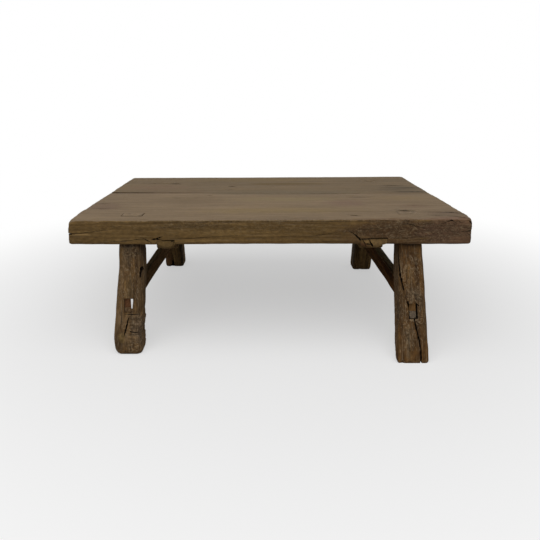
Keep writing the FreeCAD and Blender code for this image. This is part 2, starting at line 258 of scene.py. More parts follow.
def nearest(place, start, end):
    run = end - start
    share = min(max((place - start).dot(run) / run.length_squared, 0.0), 1.0)
    return start + run * share


def sculpt(shape, rows):
    # raises or sinks the surface along a path: each row is the path, the half width and the height
    shape.normal_update()
    moves = {}
    for path, reach, height in rows:
        corners = [Vector(corner) for corner in path]
        if len(corners) == 1:
            corners.append(corners[0] + Vector((0, 0, 0.1)))
        low = [min(corner[axis] for corner in corners) - 2.2 * reach for axis in range(3)]
        high = [max(corner[axis] for corner in corners) + 2.2 * reach for axis in range(3)]
        for vert in shape.verts:
            place = vert.co
            if all(low[axis] < place[axis] < high[axis] for axis in range(3)):
                bell = math.exp(-((nearPath(place, corners) / reach) ** 2))
                bell *= 1 + 0.5 * lumps(place, (reach, reach, reach), 3.7)
                moves[vert] = moves.get(vert, Vector()) + vert.normal * height * bell
    for vert, move in moves.items():
        vert.co += move


# small helpers for materials; a socket knows its own node tree

def tone(red, green, blue):
    # a colour as the eye sees it in daylight, 0 to 255, made linear
    return tuple(((part / 255 + 0.055) / 1.055) ** 2.4 for part in (red, green, blue)) + (1.0,)


def plug(value, socket):
    if isinstance(value, bpy.types.NodeSocket):
        socket.id_data.links.new(value, socket)
    else:
        socket.default_value = value


def addNode(tree, kind, inputs, **settings):
    made = tree.nodes.new("ShaderNode" + kind)
    for name, value in settings.items():
        setattr(made, name, value)
    for name, value in inputs.items():
        plug(value, made.inputs[name])
    return made


def treeOf(*values):
    return next(value.id_data for value in values if isinstance(value, bpy.types.NodeSocket))


def sums(operation, *values):
    return addNode(treeOf(*values), "Math", dict(enumerate(values)), operation=operation).outputs[0]


def inTurn(operation, values):
    result = values[0]
    for value in values[1:]:
        result = sums(operation, result, value)
    return result


def plus(*values):
    return inTurn("ADD", values)


def most(*values):
    return inTurn("MAXIMUM", values)


def minus(first, second):
    return sums("SUBTRACT", first, second)


def times(first, second):
    return sums("MULTIPLY", first, second)


def vectors(operation, *values):
    made = addNode(treeOf(*values), "VectorMath", dict(enumerate(values)), operation=operation)
    return made.outputs["Value" if operation == "LENGTH" else "Vector"]


def scaled(place, factor):
    made = addNode(treeOf(place), "VectorMath", {0: place, "Scale": factor}, operation="SCALE")
    return made.outputs["Vector"]


def heightOf(vector):
    return addNode(treeOf(vector), "SeparateXYZ", {"Vector": vector}).outputs["Z"]


def ramp(value, low, high, start=0.0, end=1.0):
    # goes smoothly from start to end while the value goes from low to high
    inputs = dict(enumerate((value, low, high, start, end)))
    return addNode(treeOf(value), "MapRange", inputs, interpolation_type="SMOOTHSTEP").outputs[0]


def mixed(share, first, second, mode="MIX"):
    inputs = {0: share, 6: first, 7: second}
    made = addNode(treeOf(share, first, second), "Mix", inputs, data_type="RGBA", blend_type=mode)
    return made.outputs[2]


def noiseOf(place, detail, roughness, distortion=0.0):
    inputs = {"Vector": place, "Scale": 1.0, "Detail": detail, "Roughness": roughness}
    return addNode(treeOf(place), "TexNoise", {**inputs, "Distortion": distortion}).outputs


def cloud(place, size, detail=3.0, roughness=0.5, output="Fac"):
    # noise whose lumps are as long as size says, in millimetres
    return noiseOf(vectors("MULTIPLY", place, tuple(1 / part for part in size)), detail, roughness)[output]


def newGroup(name, inputs, outputs):
    # an input is a number where its first value is one, and a vector otherwise; outputs are numbers
    group = bpy.data.node_groups.new(name, "ShaderNodeTree")
    for label, value in inputs.items():
        kind = "NodeSocketFloat" if isinstance(value, float) else "NodeSocketVector"
        socket = group.interface.new_socket(label, in_out="INPUT", socket_type=kind)
        if value is not None:
            socket.default_value = value
    for label in outputs:
        group.interface.new_socket(label, in_out="OUTPUT", socket_type="NodeSocketFloat")
    given = group.nodes.new("NodeGroupInput").outputs
    return group, given, group.nodes.new("NodeGroupOutput").inputs


def useGroup(group, inputs):
    return addNode(inputs["Place"].id_data, "Group", inputs, node_tree=group).outputs


# node groups that the timbers share

def makeTimberGrain():
    # growth rings about a pith line along X, with fibres and pores that run along X
    tree, given, out = newGroup(
        "timberGrain",
        {"Place": None, "Ring Width": 5.0, "Wander": 10.0, "Pith Y": 0.0, "Pith Z": -60.0, "Swell": 0.0},
        ("Rings", "Fibres", "Pores", "Streaks", "Furrows", "Ridges"),
    )
    place = given["Place"]
    drift = vectors("SUBTRACT", cloud(place, (420, 85, 85), 2.0, 0.4, "Color"), (0.5, 0.5, 0.5))
    moved = vectors("ADD", place, scaled(drift, given["Wander"]))
    parts = addNode(tree, "SeparateXYZ", {"Vector": moved}).outputs
    fromY = sums("POWER", minus(parts["Y"], given["Pith Y"]), 2.0)
    fromZ = sums("POWER", minus(parts["Z"], given["Pith Z"]), 2.0)
    shiver = times(cloud(place, (70, 7, 7), 2.0), 2.4)
    radius = plus(sums("SQRT", plus(fromY, fromZ)), shiver, given["Swell"])
    count = sums("DIVIDE", radius, given["Ring Width"])
    share = sums("FRACT", count)
    late = times(ramp(share, 0.25, 0.88), ramp(share, 0.9, 1.0, 1.0, 0.0))
    year = addNode(tree, "TexNoise", {"W": times(count, 0.61), "Scale": 1.0}, noise_dimensions="1D")
    plug(times(late, ramp(year.outputs["Fac"], 0.25, 0.75, 0.25, 1.0)), out["Rings"])
    plug(cloud(moved, (110, 1.7, 1.7), 4.0, 0.62), out["Fibres"])
    plug(ramp(cloud(moved, (14, 0.55, 0.55), 2.0), 0.60, 0.72), out["Pores"])
    plug(cloud(moved, (300, 9, 9), 3.0, 0.6), out["Streaks"])
    split = cloud(moved, (60, 3.2, 3.2), 3.0, 0.6)
    plug(ramp(split, 0.57, 0.70), out["Furrows"])
    plug(ramp(split, 0.34, 0.46, 1.0, 0.0), out["Ridges"])
    return tree


def farFrom(given):
    # how far a place lies from the centre, where the size is one
    offset = vectors("SUBTRACT", given["Place"], given["Centre"])
    return vectors("LENGTH", vectors("DIVIDE", offset, given["Size"]))


def makeKnotSwell():
    # bends the rings round a knot or an eye in the grain: feeds the grain's Swell
    tree, given, out = newGroup(
        "knotSwell",
        {"Place": None, "Centre": zero, "Size": (30.0, 15.0, 15.0), "Height": 20.0, "Before": 0.0},
        ("Swell", "Mask"),
    )
    bell = sums("EXPONENT", times(sums("POWER", farFrom(given), 2.0), -1.0))
    plug(plus(times(bell, given["Height"]), given["Before"]), out["Swell"])
    plug(bell, out["Mask"])
    return tree


def makeSoftPatch():
    # a patch of other colour with an uneven edge
    tree, given, out = newGroup(
        "softPatch",
        {"Place": None, "Centre": zero, "Size": (100.0, 30.0, 30.0), "Edge": 0.5},
        ("Mask",),
    )
    uneven = minus(cloud(given["Place"], (60, 9, 9), 3.0, 0.6), 0.5)
    far = plus(farFrom(given), times(uneven, 1.1))
    plug(ramp(far, minus(1.0, given["Edge"]), 1.0, 1.0, 0.0), out["Mask"])
    return tree


def makeWornFace():
    # what age does to a face: which faces look up, blotches, fine scratches and specks of dirt
    tree, given, out = newGroup(
        "wornFace",
        {"Place": None, "Facing": None},
        ("Upward", "Blotch", "Scratch", "Specks", "Hollow", "Mottle"),
    )
    place = given["Place"]
    uneven = cloud(place, (10, 8, 8), 3.0, 0.65)
    plug(ramp(plus(heightOf(given["Facing"]), times(uneven, 0.8)), 0.9, 1.2), out["Upward"])
    plug(cloud(place, (230, 75, 75), 4.0, 0.55), out["Blotch"])
    plug(ramp(cloud(place, (38, 0.9, 2.5), 2.0, 0.4), 0.66, 0.74), out["Scratch"])
    plug(ramp(cloud(place, (3.4, 2.2, 2.2), 2.0), 0.66, 0.78), out["Specks"])
    plug(cloud(place, (26, 11, 11), 3.0, 0.6), out["Hollow"])
    plug(minus(ramp(cloud(place, (11, 7, 7), 2.0, 0.6), 0.32, 0.68), 0.5), out["Mottle"])
    return tree


def makeTornFigure():
    # the curled figure of bark, burrs and torn grain: pale crests beside dark hollows
    tree, given, out = newGroup(
        "tornFigure",
        {"Place": None, "Size": (18.0, 14.0, 5.0), "Mask": 1.0},
        ("Crests", "Hollows", "Relief"),
    )
    curl = noiseOf(vectors("DIVIDE", given["Place"], given["Size"]), 1.6, 0.5, 1.1)["Fac"]
    wave = sums("PINGPONG", times(curl, 4.2), 0.5)
    crests = times(ramp(wave, 0.34, 0.5), given["Mask"])
    hollows = times(ramp(wave, 0.0, 0.13, 1.0, 0.0), given["Mask"])
    plug(crests, out["Crests"])
    plug(hollows, out["Hollows"])
    plug(minus(crests, hollows), out["Relief"])
    return tree


timberGrain = makeTimberGrain()
tornFigure = makeTornFigure()
knotSwell = makeKnotSwell()
softPatch = makeSoftPatch()
wornFace = makeWornFace()
print("shared node groups made")


# materials

def startMaterial(name, turn=zero, shift=zero):
    # a new material, with the place in millimetres, also turned so that X runs along the timber
    material = bpy.data.materials.new(name)
    material.use_nodes = True
    tree = material.node_tree
    shader = tree.nodes["Principled BSDF"].inputs
    coords = addNode(tree, "TexCoord", {}).outputs
    place = scaled(coords["Object"], 1 / mm)
    turned = addNode(tree, "Mapping", {"Vector": place, "Rotation": turn, "Location": shift}).outputs[0]
    return material, shader, place, turned, coords["Normal"]


def bumpUp(shader, height, strength):
    bump = addNode(treeOf(height), "Bump", {"Height": height, "Strength": strength, "Distance": mm})
    plug(bump.outputs["Normal"], shader["Normal"])


def addKnots(place, knots):
    swell, masks = 0.0, []
    for centre, size, height in knots:
        inputs = {"Place": place, "Centre": centre, "Size": size, "Height": height, "Before": swell}
        knot = useGroup(knotSwell, inputs)
        swell = knot["Swell"]
        masks.append(knot["Mask"])
    return swell, masks


def patchMask(place, centre, size, edge):
    return useGroup(softPatch, {"Place": place, "Centre": centre, "Size": size, "Edge": edge})["Mask"]


def timberMaterial(look, name, turn=zero, shift=zero):
    # weathered elm: rings, fibres and pores, greyed where it looks up, darker in its hollows
    material, shader, place, along, facing = startMaterial(name, turn, shift)
    swell, masks = addKnots(along, look.get("knots", ()))
    grain = useGroup(timberGrain, {
        "Place": along,
        "Ring Width": look["ringWidth"],
        "Wander": look["wander"],
        "Pith Y": look["pith"][0],
        "Pith Z": look["pith"][1],
        "Swell": swell,
    })
    worn = useGroup(wornFace, {"Place": along, "Facing": facing})

    def byFacing(sideValue, upperValue):
        return ramp(worn["Upward"], 0.0, 1.0, sideValue, upperValue)

    side = mixed(ramp(grain["Streaks"], 0.32, 0.68), look["sideDark"], look["sideLight"])
    side = mixed(times(grain["Rings"], look["sideRings"]), side, look["sideLate"])
    upper = mixed(ramp(grain["Streaks"], 0.30, 0.70), look["upperDark"], look["upperLight"])
    upper = mixed(times(grain["Rings"], look["upperRings"]), upper, look["upperLate"])
    colour = mixed(worn["Upward"], side, upper)
    for centre, size, edge, share, paint in look.get("patches", ()):
        colour = mixed(times(patchMask(place, centre, size, edge), share), colour, paint)
    fibre = times(minus(grain["Fibres"], 0.5), byFacing(look["fibre"], look["upperFibre"]))
    blotch = times(minus(worn["Blotch"], 0.5), look["blotch"])
    hollow = ramp(worn["Hollow"], 0.34, 0.62, -look["hollow"], 0.04)
    mottle = times(worn["Mottle"], byFacing(look["mottle"], look["upperMottle"]))
    shade = plus(fibre, blotch, hollow, mottle, 1.0)
    grey = addNode(treeOf(shade), "CombineColor", {"Red": shade, "Green": shade, "Blue": shade}).outputs[0]
    colour = mixed(1.0, colour, grey, "MULTIPLY")
    ridges = times(grain["Ridges"], byFacing(look["ridges"], look["upperRidges"]))
    colour = mixed(ridges, colour, look["scratchLight"])
    relief = plus(
        times(grain["Rings"], look["reliefRings"]),
        times(grain["Fibres"], look["reliefFibres"]),
        times(worn["Hollow"], look["reliefHollow"]),
        times(mottle, 1.2),
    )
    furrows = times(times(grain["Furrows"], look["furrows"]), byFacing(1.0, look["upperFurrows"]))
    dark = most(times(grain["Pores"], look["pores"]), furrows, times(worn["Specks"], look["specks"]))
    for mask in masks:
        dark = most(dark, ramp(mask, 0.88, 1.0, 0.0, look["knotDark"]))
    for centre, size, edge, share, scale in look.get("torn", ()):
        mask = times(patchMask(place, centre, size, edge), share)
        torn = useGroup(tornFigure, {"Place": place, "Size": scale, "Mask": mask})
        colour = mixed(times(torn["Crests"], look["crests"]), colour, look["scratchLight"])
        dark = most(dark, times(torn["Hollows"], look["hollows"]))
        relief = plus(relief, times(torn["Relief"], 0.7))
    colour = mixed(dark, colour, look["dirt"])
    colour = mixed(times(worn["Scratch"], look["scratch"]), colour, look["scratchLight"])
    plug(colour, shader["Base Color"])
    plug(plus(look["rough"], times(grain["Fibres"], 0.16)), shader["Roughness"])
    plug(look["gloss"], shader["Specular IOR Level"])
    bumpUp(shader, plus(relief, times(dark, -0.5), times(worn["Scratch"], -0.15)), look["bump"])
    return material


boardLook = {
    "ringWidth": 6.5,
    "wander": 26,
    "pith": (-150, 120),
    "sideDark": tone(104, 80, 44),
    "sideLight": tone(128, 101, 59),
    "sideLate": tone(88, 64, 34),
    "sideRings": 0.32,
    "upperDark": tone(112, 93, 69),
    "upperLight": tone(128, 108, 82),
    "upperLate": tone(100, 82, 58),
    "upperRings": 0.42,
    "blotch": 0.42,
    "fibre": 0.5,
    "upperFibre": 0.5,
    "hollow": 0.05,
    "pores": 0.3,
    "specks": 0.25,
    "furrows": 0.36,
    "upperFurrows": 0.15,
    "ridges": 0.2,
    "upperRidges": 0.04,
    "mottle": 0.3,
    "upperMottle": 0.06,
    "knotDark": 0.5,
    "dirt": tone(52, 38, 22),
    "crests": 0.5,
    "hollows": 0.65,
    "scratch": 0.2,
    "scratchLight": tone(150, 130, 100),
    "rough": 0.66,
    "gloss": 0.22,
    "reliefRings": -0.25,
    "reliefFibres": 0.6,
    "reliefHollow": 0.7,
    "bump": 0.7,
    "patches": (
        ((50, 30, 330), (310, 48, 200), 0.5, 0.8, tone(103, 88, 64)),
        ((70, 170, 330), (170, 26, 200), 0.6, 0.9, tone(90, 70, 32)),
        ((-40, 250, 330), (300, 42, 200), 0.6, 0.7, tone(113, 93, 58)),
        ((-350, 120, 330), (140, 60, 200), 0.7, 0.7, tone(108, 85, 62)),
        ((50, -66, 330), (240, 44, 200), 0.8, 0.8, tone(125, 108, 76)),
        ((210, -120, 330), (80, 54, 200), 0.8, 0.8, tone(113, 90, 71)),
        ((370, -60, 330), (120, 48, 200), 0.8, 0.7, tone(123, 102, 70)),
        ((-220, -70, 330), (130, 80, 200), 0.8, 0.7, tone(109, 90, 64)),
        ((30, -200, 330), (300, 46, 200), 0.8, 0.7, tone(120, 100, 64)),
        ((-440, -150, 330), (70, 44, 200), 0.7, 0.7, tone(106, 84, 64)),
        ((440, -246, 330), (80, 44, 200), 0.7, 0.8, tone(98, 79, 58)),
        ((385, -160, 330), (60, 34, 200), 0.8, 0.8, tone(108, 86, 64)),
        ((420, 70, 330), (100, 64, 200), 0.7, 0.8, tone(98, 83, 60)),
        # narrow dark bands along the cracks of the top: painted shade of the cracks
        ((405, 90, 330), (80, 9, 20), 0.8, 0.8, tone(66, 53, 37)),
        ((400, 128, 330), (60, 9, 20), 0.8, 0.8, tone(70, 56, 39)),
        ((430, 28, 330), (80, 10, 20), 0.8, 0.8, tone(66, 53, 37)),
        ((374, 60, 330), (70, 7, 20), 0.8, 0.7, tone(74, 60, 42)),
        ((-305, 184, 330), (34, 9, 20), 0.8, 0.8, tone(66, 50, 34)),
        ((-385, 196, 330), (70, 9, 20), 0.8, 0.6, tone(82, 62, 44)),
        ((-114, 131, 330), (16, 8, 20), 0.8, 0.8, tone(62, 50, 34)),
        ((-300, 40, 330), (190, 22, 200), 0.8, 0.5, tone(102, 80, 58)),
        # more narrow dark bands along cracks: painted shade of the cracks
        ((-452, -112, 330), (50, 10, 20), 0.8, 0.6, tone(88, 68, 50)),
        ((-432, -172, 330), (60, 10, 20), 0.8, 0.5, tone(92, 72, 54)),
        ((448, -232, 330), (36, 9, 20), 0.8, 0.8, tone(60, 45, 31)),
        ((300, -300, 300), (170, 30, 60), 0.8, 0.85, tone(90, 63, 38)),
        ((440, -300, 300), (120, 34, 90), 0.6, 0.85, tone(110, 82, 62)),
        # a dark line just under the front arris: painted shade under the worn lip, with some dirt
        ((0, -302, 326.2), (520, 9, 1.7), 0.8, 0.9, tone(50, 34, 18)),
        ((-446, -301, 296.4), (34, 8, 1.6), 0.8, 0.8, tone(176, 142, 92)),
        ((300, -301, 289), (60, 8, 3), 0.8, 0.5, tone(132, 104, 74)),
    ),
    "torn": (
        ((360, -300, 302), (190, 14, 40), 0.6, 1, (24, 18, 11)),
        ((-60, -300, 312), (440, 9, 24), 0.7, 0.5, (22, 14, 11)),
        ((-200, -301, 319), (120, 9, 9), 0.6, 0.9, (9, 12, 8)),
        ((0, -300, 328.6), (520, 7, 5), 0.5, 1, (8, 9, 10)),
        ((330, -301, 305), (190, 9, 34), 0.5, 0.9, (12, 12, 8)),
        ((344, -208, 330), (50, 26, 20), 0.7, 0.8, (40, 14, 14)),
    ),
    "knots": (((344, -206, 330), (38, 20, 60), 30),),
}

rearBoardLook = dict(
    boardLook,
    upperDark=tone(99, 82, 58),
    upperLight=tone(116, 96, 68),
    upperLate=tone(88, 72, 47),
    pith=(110, 90),
    knots=(),
    torn=(),
    wander=22,
)

legLook = {
    "ringWidth": 4.6,
    "wander": 24,
    "pith": (12, -18),
    "sideDark": tone(82, 60, 34),
    "sideLight": tone(130, 99, 59),
    "sideLate": tone(142, 119, 90),
    "sideRings": 0.42,
    "upperDark": tone(110, 92, 70),
    "upperLight": tone(128, 110, 86),
    "upperLate": tone(92, 76, 56),
    "upperRings": 0.4,
    "blotch": 0.7,
    "fibre": 0.65,
    "upperFibre": 0.5,
    "hollow": 0.25,
    "pores": 0.4,
    "specks": 0.35,
    "furrows": 0.7,
    "upperFurrows": 0.6,
    "ridges": 0.4,
    "upperRidges": 0.2,
    "mottle": 0.3,
    "upperMottle": 0.2,
    "knotDark": 0.6,
    "dirt": tone(44, 29, 16),
    "crests": 0.7,
    "hollows": 0.55,
    "scratch": 0.25,
    "scratchLight": tone(160, 138, 108),
    "rough": 0.68,
    "gloss": 0.25,
    "reliefRings": 0.5,
    "reliefFibres": 1,
    "reliefHollow": 1.4,
    "bump": 0.9,
}

rearLegLook = dict(
    legLook,
    sideDark=tone(97, 72, 38),
    sideLight=tone(132, 104, 60),
    sideLate=tone(76, 53, 27),
    sideRings=0.4,
    crests=0.3,
    scratch=0.12,
    ridges=0.15,
)

stretcherLook = dict(
    legLook,
    sideDark=tone(82, 50, 24),
    sideLight=tone(122, 82, 44),
    sideLate=tone(56, 33, 15),
    upperDark=tone(108, 95, 68),
    upperLight=tone(140, 124, 90),
    upperLate=tone(84, 72, 50),
    gloss=0.02,
    scratch=0.12,
    ridges=0.1,
    scratchLight=tone(110, 92, 68),
    pith=(20, -26),
    wander=18,
    patches=(
        ((338.7, -340, 124), (26, 26, 30), 0.2, 1, tone(116, 86, 52)),
        # a dark strip on the left face of the right tenon: painted shade in the gap beside it in the
        # mortise
        ((330.6, -342, 129), (2.2, 34, 9), 0.4, 0.95, tone(16, 10, 6)),
        ((-342, 0, 126), (30, 420, 40), 0.3, 0.5, tone(134, 108, 74)),
        ((340, 20, 108), (36, 420, 22), 0.6, 0.45, tone(92, 68, 40)),
        ((334, -150, 138), (20, 70, 18), 0.7, 0.6, tone(44, 24, 12)),
        ((-343.7, -316, 125), (26, 22, 30), 0.2, 1, tone(108, 74, 50)),
    ),
)


def crackMaterial():
    # the inside of cracks and gaps: painted shade, as dark as the shadow in them, with old dirt on torn
    # fibres
    material, shader, place = startMaterial("crackShadeAndDirt")[:3]
    grit = cloud(place, (6, 2, 2), 3.0, 0.6)
    plug(mixed(ramp(grit, 0.35, 0.7), tone(20, 13, 8), tone(44, 31, 19)), shader["Base Color"])
    plug(ramp(grit, 0.2, 0.8, 0.8, 0.95), shader["Roughness"])
    plug(0.1, shader["Specular IOR Level"])
    bumpUp(shader, grit, 0.6)
    return material


crackShadeAndDirt = crackMaterial()
quarter = math.pi / 2
sharpEdge = math.radians(38)


def settle(shape, name, materials, nodes):
    # turns a shape in millimetres into a finished piece of the table
    bmesh.ops.transform(shape, matrix=Matrix.Scale(mm, 4), verts=shape.verts)
    mesh = bpy.data.meshes.new(name)
    for face in shape.faces:
        face.smooth = True
    for material in materials:
        mesh.materials.append(material)
    shape.to_mesh(mesh)
    shape.free()
    mesh.set_sharp_from_angle(angle=sharpEdge)
    piece = bpy.data.objects.new(name, mesh)
    bpy.context.scene.collection.objects.link(piece)
    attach(piece, "root")
    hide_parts(*nodes)
    return piece


# the two boards of the top

topSizes = {
    # seamGap, seamArrises, rearEdge and underside: rows of x and a value. leftEnd and rightEnd: rows of y
    # and how far the end stands out. Pairs are for the left and the right end
    "halfLength": 480,
    "front": -300,
    "rear": 300,
    "low": 270,
    "high": 330,
    "seamAtLeft": 38,
    "seamAtRight": -3,
    "seamGap": (
        (-480, 11.5), (-440, 10), (-400, 8), (-360, 6), (-320, 4.6), (-280, 3.4), (-220, 2.2), (-160, 1),
        (-80, 0.5), (480, 0.3),
    ),
    "frontCorners": (8, 8),
    "rearCorners": (9, 13),
    "seamCorner": 4,
    "upperArris": 3.2,
    "endArris": 2,
    "cornerArrises": (11, 6),
    "lowerArris": 6,
    "seamArrises": (
        (-480, 3.6), (-440, 3.2), (-380, 2.4), (-320, 1.5), (-250, 0.8), (-180, 0.4), (480, 0.4),
    ),
    "rearEdge": ((-480, 8), (-400, 7.5), (-290, 6), (-150, 4), (0, 3), (300, 2), (480, 0)),
    "leftEnd": ((-300, 0), (-100, -0.5), (-20, -0.8), (30, -1.5), (70, 0), (290, 0)),
    "rightEnd": (
        (-300, -1.6), (-270, -0.4), (-60, 0), (-30, -0.5), (0, -3), (50, -1.8), (145, -2.6), (300, -1.6),
    ),
    "underside": ((-480, 0.9), (-400, 0.4), (100, -0.2), (300, -0.7), (440, -1.6), (480, -1.6)),
    "rearUpperArris": 2.5,
    "frontSeamArris": 0.6,
    # how far in the bow of the rear edge, the form of the ends and the worn front corners reach
    "rearEdgeReach": 60,
    "endReach": 70,
    "cornerReach": (34, 75),
    # the front edge is rougher to the right of this x
    "roughFrom": 175,
    "faceCounts": (330, 92, 24),
    "faceCrowding": (0.3, 0.72, 0.6),
}


def seamPlace(x):
    share = x / (2 * topSizes["halfLength"]) + 0.5
    return topSizes["seamAtLeft"] + (topSizes["seamAtRight"] - topSizes["seamAtLeft"]) * share


def boardArris(place, way, front):
    # the radius of the rounded arris at a place
    sizes = topSizes
    rough = soft(sizes["roughFrom"] - 20, sizes["roughFrom"] + 40, place.x) * (1 if front else 0)
    if place.z < (sizes["low"] + sizes["high"]) / 2:
        radius = sizes["lowerArris"]
    else:
        atEnd = abs(way[0])
        radius = sizes["upperArris"] + (sizes["endArris"] - sizes["upperArris"]) * atEnd
        # the two front corners are worn rounder
        corner = sizes["cornerArrises"][0 if place.x < 0 else 1]
        reachX, reachY = sizes["cornerReach"]
        nearEnd = soft(sizes["halfLength"] - reachX, sizes["halfLength"], abs(place.x))
        nearCorner = max(soft(0.15, 0.7, atEnd), 0.6 * nearEnd)
        nearFront = soft(sizes["front"] + reachY, sizes["front"], place.y)
        radius += (corner - radius) * nearFront * nearCorner
        radius += 1.3 * lumps(place, (38, 60, 60), 1.3) + 1.2 * lumps(place, (10, 30, 30), 2.1)
        radius += 5.0 * max(lumps(place, (9.5, 20, 20), 6.6) - 0.1, 0)
        radius += rough * 1.6 * lumps(place, (9, 20, 20), 5.0)
        radius += rough * 2.0 * max(lumps(place, (22, 30, 30), 7.7), 0)
        if not front and way[1] > 0.5:
            radius = sizes["rearUpperArris"]
    seamSide = max(way[1], 0.0) if front else max(-way[1], 0.0)
    seamArris = sizes["frontSeamArris"] if front else readTable(sizes["seamArrises"], place.x)
    radius += (seamArris - radius) * min(seamSide * 1.2, 1.0)
    return max(radius, 0.4)


def makeBoard(front):
    sizes = topSizes
    half = sizes["halfLength"]
    # the board starts with its seam side at y = 0, and is then stretched to the seam
    low = (-half, sizes["front"] if front else 0.0)
    high = (half, 0.0 if front else sizes["rear"])
    corners = (*low, sizes["low"]), (*high, sizes["high"])
    board = gridBlock(*corners, sizes["faceCounts"], sizes["faceCrowding"])
    outerCorners = sizes["frontCorners"] if front else sizes["rearCorners"]
    for vert in board.verts:
        place = vert.co
        outerCorner = outerCorners[0 if place.x < 0 else 1]
        share = (place.y - low[1]) / (high[1] - low[1])
        nearSeam = share if front else 1 - share
        corner = outerCorner if nearSeam < 0.5 else sizes["seamCorner"]
        flat = place.copy()
        place.x, place.y, way, level = roundPlan(place.x, place.y, low, high, corner)
        if level > 0:
            arris = min(boardArris(flat, way, front), corner)
            roundArris(place, way, level, corner, arris, sizes["low"], sizes["high"])
        seam, gap = seamPlace(place.x), readTable(sizes["seamGap"], place.x) / 2
        if front:
            place.y = low[1] + (place.y - low[1]) * (seam - gap - low[1]) / (high[1] - low[1])
        else:
            place.y = high[1] - (high[1] - place.y) * (high[1] - seam - gap) / (high[1] - low[1])
            nearRear = soft(high[1] - sizes["rearEdgeReach"], high[1], place.y)
            place.y += readTable(sizes["rearEdge"], place.x) * nearRear
        side = soft(half - sizes["endReach"], half, abs(place.x))
        if place.x < 0:
            place.x -= side * readTable(sizes["leftEnd"], place.y)
        else:
            place.x += side * readTable(sizes["rightEnd"], place.y)
        place.z += readTable(sizes["underside"], place.x) * soft(sizes["high"], sizes["low"], place.z)

    def wear(place, normal):
        roughness = soft(sizes["roughFrom"] - 30, sizes["roughFrom"] + 60, place.x) if front else 0.3
        if normal.z > 0.7:
            out = 0.5 * lumps(place, (190, 60, 60), 0.4) + 0.18 * lumps(place, (45, 9, 30), 3.3) - 0.15
        elif normal.z < -0.7:
            out = 0.9 * lumps(place, (120, 30, 60), 5.4) + 0.5 * lumps(place, (30, 7, 30), 6.3)
        elif abs(normal.x) > 0.6:
            out = 0.9 * lumps(place, (40, 26, 14), 8.4) + 0.5 * lumps(place, (20, 6, 6), 1.8) + 0.35
        else:
            out = (0.8 + 0.5 * roughness) * lumps(place, (95, 60, 13), 2.2)
            out += (0.45 + 0.55 * roughness) * lumps(place, (26, 30, 4.2), 9.1)
        return out

    pushOut(board, wear)
    for vert in board.verts:
        vert.co.x = min(max(vert.co.x, -half), half)
        vert.co.z = min(vert.co.z, sizes["high"])
    board.normal_update()
    for face in board.faces:
        # painted shade: both sides of the seam take the dark material of cracks
        if face.normal.y * (1 if front else -1) > 0.3:
            face.material_index = 1
    return board


# each chip is a dent: its place on the board, how wide it is along the edge and how deep
frontChips = (
    ((-138, -300, 326), 9, 3.4),
    ((-22, -300, 316), 6, 1.2),
    ((-60, -299, 329), 12, 1.6),
    ((62, -299, 329), 15, 1.8),
    ((206, -299, 329), 14, 2.6),
    ((246, -299, 328), 10, 2.8),
    ((296, -299, 329), 16, 2.2),
    ((332, -299, 330), 9, 2.6),
    ((388, -299, 328), 12, 2.4),
    ((420, -300, 330), 8, 2.2),
    ((455, -298, 329), 13, 3),
    ((-300, -299, 330), 14, 1.5),
    ((-415, -299, 329), 18, 2.4),
)


# the two worn-off front corners: a place, a half width and a height
frontForms = (
    ([(-480, -300, 331)], 15, -4),
    ([(480, -300, 330)], 10, -3),
)


def chipEdge(shape, chips):
    for vert in shape.verts:
        for centre, reach, depth in chips:
            away = (vert.co - Vector(centre)).length / reach
            if away < 1:
                bite = depth * (1 - away * away) * (0.8 + 0.5 * lumps(vert.co, (4, 4, 4), 1.1))
                vert.co += Vector((0, 0.7, -0.7)) * bite


def onFront(depth, *rows):
    # a crack in the front edge, from rows of (x, z, width)
    return [(x, topSizes["front"], z, width) for x, z, width in rows], depth


def onTop(depth, *rows):
    # a crack in the upper face, from rows of (x, y, width)
    return [(x, y, topSizes["high"], width) for x, y, width in rows], depth


